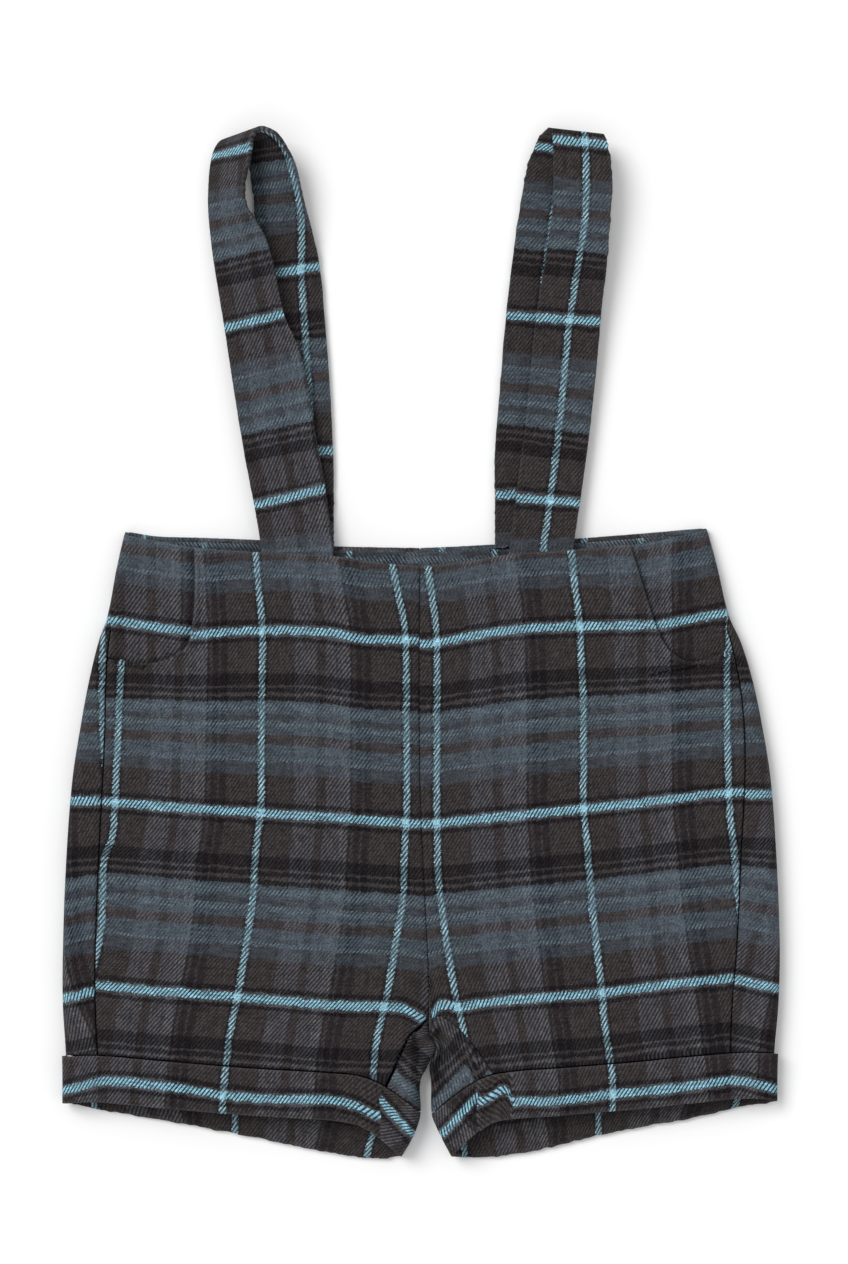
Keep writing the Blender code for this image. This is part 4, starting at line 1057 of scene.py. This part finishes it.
for side in (LEFT, RIGHT):
    levels = np.linspace(-172.0, -224.0, 80)
    sections = [spread_evenly(*cuff_section(side, y), 420, 3.0) for y in levels]
    outs, heights, lengths = (np.array([section[k] for section in sections]) for k in range(3))
    s = np.linspace(0.0, 1.0, 321)[None, :]
    t = shares(34, 21.0, 1.6)[:, None]
    y = np.full((len(t), s.shape[1]), -200.0)
    for _ in range(14):
        out, z = between(outs, s + 0 * y, y, levels), between(heights, s + 0 * y, y, levels)
        high = np.clip(z / (crown(side, out, y) + CUFF_RISE), 0.0, 1.0)
        y = cuff_y(side, out, high, t) - CUFF_GAP / 2 * (1.0 - t)
    way = between(lengths, s + 0 * y, y, levels)
    numbers = np.arange(s.shape[1])[None, :]
    on_back = numbers < np.argmax(out, axis=1)[:, None]
    first_way = np.array([np.interp(CUFF_MARKS[side], row[back], row_way[back])
                          for row, row_way, back in zip(out, way, on_back)])[:, None]
    x = SIGN[side] * out
    v = curve(CUFF_WEFT, 1 if side == LEFT else 2)(out) - y
    if side == LEFT:
        aslant, along = -0.73 * x - 0.68 * y - 145.0, 0.68 * x - 0.73 * y
    else:
        aslant, along = 0.73 * x - 0.69 * y - 150.8, 0.69 * x + 0.73 * y + 50.0
    # from the back round the side: back, outside the side seam, front, small square, inner leg
    weaves = [np.stack(pair, axis=2) for pair in (
        (SIGN[side] * (way - first_way), BACK_CUFF_TOP[side](out) - y - 10.5),
        (CUFF_SIDE_WARP[side] + SIGN[side] * (out - seam_out(side, y)), v),
        (front_weave(side, out, y)[:, :, 0], v),
        (4.0 + 0.8 * (CUFF_SQUARES[side] - out), v),
        (along, np.where(aslant < 0.0, 1.45 * aslant, aslant)))]
    zones = np.select([on_back, out > seam_out(side, y), out > CUFF_SQUARES[side],
                       out > CUFF_INSEAMS[side]], [0, 1, 2, 3], 4)
    lying = rounding(EDGE[side](y) + CUFF_PROUD - out, FOLD_RADIUS(y))
    lying = lying * rounding(out - inner_out(side, y), INNER_RADIUS) * (high > 0.5)
    points = np.stack((x, y, z - lying * along_lines(CREASES, x, y)), axis=2)
    furrow = sum(deep * np.exp(-((out - at) / 0.9) ** 2) for deep, at in (
        (0.9, seam_out(side, y)), (0.7, CUFF_SQUARES[side]), (0.8, CUFF_INSEAMS[side])))
    points[:, :, 2] -= furrow * (high > 0.6)
    roll = rounding((points[0:1, :, 1] - points[:, :, 1]), 1.6)
    points[:, :, 2] -= 0.5 * (1.0 - roll) * (2.0 * high - 1.0)
    # the cuff's top and hem are drawn paler: the nap rubbed pale and a painted highlight on the
    # rolled edges
    cuff = laid_cloth(f"cuff_{side}_cloth", points, weaves, CUFF_CLOTH,
                      [flannel(f"flannel_cuff_{side}"),
                       flannel(f"flannel_cuff_{side}_inside", (0.0, 8.0), nap=1.3)],
                      False, closed=True, wear_and_highlight=0.5 * near_edges(points, (None, None, 1.2, 1.2)),
                      zones=zones)
    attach(cuff, "root")
    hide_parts(f"cuff_{side}")


# The straps: one doubled band each, sewn inside the back waist. It lies on the table, turns over
# itself at the top and comes down on top to the front waist, where its end is sewn in.
STRAP_CLOTH = 2.2
STRAP_WIDTH = 29.5
STRAP_LINE = 33.0           # from the front end to the first blue line
LENS_HEIGHT = 1510.0    # the tables are read from the photo, where what lies higher looks larger

# The two edges, from the sewn end at the back over the turn to the sewn end at the front
#                left edge x, y, z        right edge x, y, z
STRAP_LEFT = ((-66.6,  42.3,  1.7,    -37.4,  39.9,   1.7),
              (-66.7,  45.5,  1.7,    -37.4,  43.2,   1.7),
              (-66.8,  52.0,  0.9,    -37.4,  50.5,   0.9),
              (-67.0,  62.0,  0.0,    -37.4,  61.5,   0.0),
              (-67.2,  82.0,  0.0,    -37.7,  82.8,   0.0),
              (-69.4, 119.0, 0.0,    -39.9, 121.5,  0.0),
              (-71.6, 156.0, 0.0,    -43.3, 160.2,  0.5),
              (-70.9, 173.5, 0.0,    -46.8, 177.5,  4.0),
              (-70.6, 188.0, 0.2,    -50.2, 190.5,  8.5),
              (-71.8, 199.8, 0.6,    -53.2, 204.0,  12.0),
              (-73.6, 209.6, 1.2,    -56.8, 212.3,  14.0),
              (-78.0, 215.2, 2.2,    -62.0, 219.6,  15.6),
              (-84.5, 216.6, 3.4,    -69.0, 222.2,  17.0),
              (-88.4, 213.0, 4.4,    -72.8, 218.2,  17.8),
              (-90.6, 205.2, 4.6,    -74.4, 208.6,  17.6),
              (-91.4, 195.0, 4.6,    -76.7, 197.6,  16.2),
              (-91.3, 183.8, 4.6,    -75.4, 187.4,  14.8),
              (-89.2, 164.6, 4.8,    -65.8, 170.4,  11.4),
              (-84.6, 136.2, 5.2,    -59.2, 142.2,  8.6),
              (-81.4, 115.2, 5.6,    -51.2, 122.4,  6.8),
              (-76.2, 83.0,  5.8,    -45.2, 89.6,   6.2),
              (-70.9, 55.0,  6.3,    -40.4, 61.6,   6.4),
              (-68.3, 37.6,  7.2,    -37.7, 38.4,   7.2),
              (-67.9, 29.6,  7.4,    -37.9, 29.8,   7.4))

STRAP_RIGHT = ((31.9,  40.5,  1.7,    60.6,   42.5,   1.7),
               (31.9,  43.8,  1.7,    60.7,   45.8,   1.7),
               (31.9,  51.0,  0.9,    60.8,   52.5,   0.9),
               (31.9,  61.5,  0.0,    61.0,   62.0,   0.0),
               (31.9,  82.4,  0.0,    61.1,   81.0,   0.0),
               (34.1,  109.9, 0.0,    63.4,   108.2,  0.0),
               (37.5,  148.2, 0.0,    66.8,   146.0,  0.0),
               (41.8,  181.2, 0.0,    70.2,   178.4,  0.4),
               (45.3,  201.8, 0.6,    72.4,   198.6,  1.6),
               (48.4,  211.6, 1.8,    74.8,   208.4,  4.4),
               (51.4,  217.6, 3.6,    76.6,   214.6,  8.0),
               (55.2,  221.4, 6.4,    78.2,   218.8,  11.4),
               (56.6,  218.0, 8.8,    79.9,   215.6,  14.2),
               (57.0,  204.8, 9.2,    81.8,   202.6,  15.2),
               (56.6,  186.0, 8.6,    81.4,   183.8,  13.6),
               (53.8,  166.2, 7.4,    79.9,   163.6,  11.0),
               (49.6,  140.4, 6.4,    77.3,   138.7,  8.4),
               (47.8,  123.2, 6.0,    75.8,   120.6,  7.0),
               (44.8,  92.2,  5.8,    72.4,   88.8,   6.0),
               (41.0,  62.6,  6.2,    68.5,   60.4,   6.3),
               (38.0,  38.4,  7.2,    65.5,   40.0,   7.2),
               (37.6,  29.8,  7.4,    64.8,   30.4,   7.4))

# Pairs of length and weft coordinate, from the first blue line on, as the cloth is stretched
STRAP_LEFT_WEFT = ((-40.0, -40.0), (0.0, 0.0), (77.4, 78.7), (152.0, 157.4), (230.7, 236.1),
                   (308.5, 314.8), (360.0, 367.0))
STRAP_RIGHT_WEFT = ((-41.8, -40.0), (-1.8, 0.0), (76.5, 78.7), (153.4, 157.4), (170.8, 175.5),
                    (244.7, 254.2), (320.8, 332.9), (360.0, 374.0))

# The plaid is moved on the outside of each strap, and moved and turned on its inside
for side, table, weft_line, outer_turn, inner_turn, inner_scale, inner_twill in (
        (LEFT, STRAP_LEFT, STRAP_LEFT_WEFT, (8.0, 0.0), (-20.5, 0.0), (1.0, 1.0), 1.0),
        (RIGHT, STRAP_RIGHT, STRAP_RIGHT_WEFT, (-14.5, 0.0), (-14.5, 254.2), (1.0, -1.0), -1.0)):
    rows = np.array(table)
    keys = np.arange(len(rows), dtype=float)
    at = np.linspace(0.0, keys[-1], 401)
    edges = np.stack([curve(tuple(zip(keys, rows[:, k])), 1)(at) for k in range(6)], axis=1)
    s = shares(30, STRAP_WIDTH, 1.5)[None, :, None]
    points = edges[:, None, :3] * (1 - s) + edges[:, None, 3:] * s
    points[:, :, :2] *= 1.0 - points[:, :, 2:] / LENS_HEIGHT
    middle = 0.5 * (edges[:, :3] + edges[:, 3:])
    way = np.append(0.0, np.cumsum(np.linalg.norm(np.diff(middle, axis=0), axis=1)))
    v = curve(weft_line, 1)((way[-1] - way) - STRAP_LINE)
    wide = np.linalg.norm(edges[:, 3:] - edges[:, :3], axis=1)
    weave = np.stack((s[:, :, 0] * wide[:, None], v[:, None] + 0 * s[:, :, 0]), axis=2)
    # the strap's long edges are drawn paler: the nap rubbed pale and a painted highlight on the
    # rolled edges
    strap = laid_cloth(f"strap_{side}_cloth", points, [weave], STRAP_CLOTH,
                       [flannel(f"flannel_strap_{side}", outer_turn, twill=-1.0),
                        flannel(f"flannel_strap_{side}_inside", inner_turn, inner_scale,
                                inner_twill)],
                       False, wear_and_highlight=0.4 * near_edges(points, (0.8, 0.8, None, None)))
    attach(strap, "root")
    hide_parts(f"strap_{side}")


# The table: a plain white sheet, lit softly from the upper left, with a wide fill from above.
floor_mesh = bpy.data.meshes.new("table_top")
bm = bmesh.new()
bmesh.ops.create_grid(bm, x_segments=1, y_segments=1, size=2.0)
bmesh.ops.translate(bm, verts=bm.verts, vec=(0.0, 0.0, -0.0003))
bm.to_mesh(floor_mesh)
bm.free()
white = bpy.data.materials.new("white_paper")
white.use_nodes = True
shader = white.node_tree.nodes["Principled BSDF"]
shader.inputs["Base Color"].default_value = (0.94, 0.94, 0.94, 1.0)
shader.inputs["Roughness"].default_value = 0.7
floor_mesh.materials.append(white)
floor = bpy.data.objects.new("table_top", floor_mesh)
bpy.context.scene.collection.objects.link(floor)
floor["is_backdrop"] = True

lamp_data = bpy.data.lights.new("window_light", "SUN")
lamp_data.energy = 1.75
lamp_data.angle = math.radians(32.0)
lamp = bpy.data.objects.new("window_light", lamp_data)
lamp.rotation_euler = Vector((0.62, -0.50, -0.90)).to_track_quat("-Z", "Y").to_euler()
bpy.context.scene.collection.objects.link(lamp)
world = bpy.data.worlds.new("studio")
bpy.context.scene.world = world
world.use_nodes = True
sky = world.node_tree.nodes["Background"]
sky.inputs["Color"].default_value = (1.0, 1.0, 1.0, 1.0)
sky.inputs["Strength"].default_value = 0.70

low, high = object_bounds()
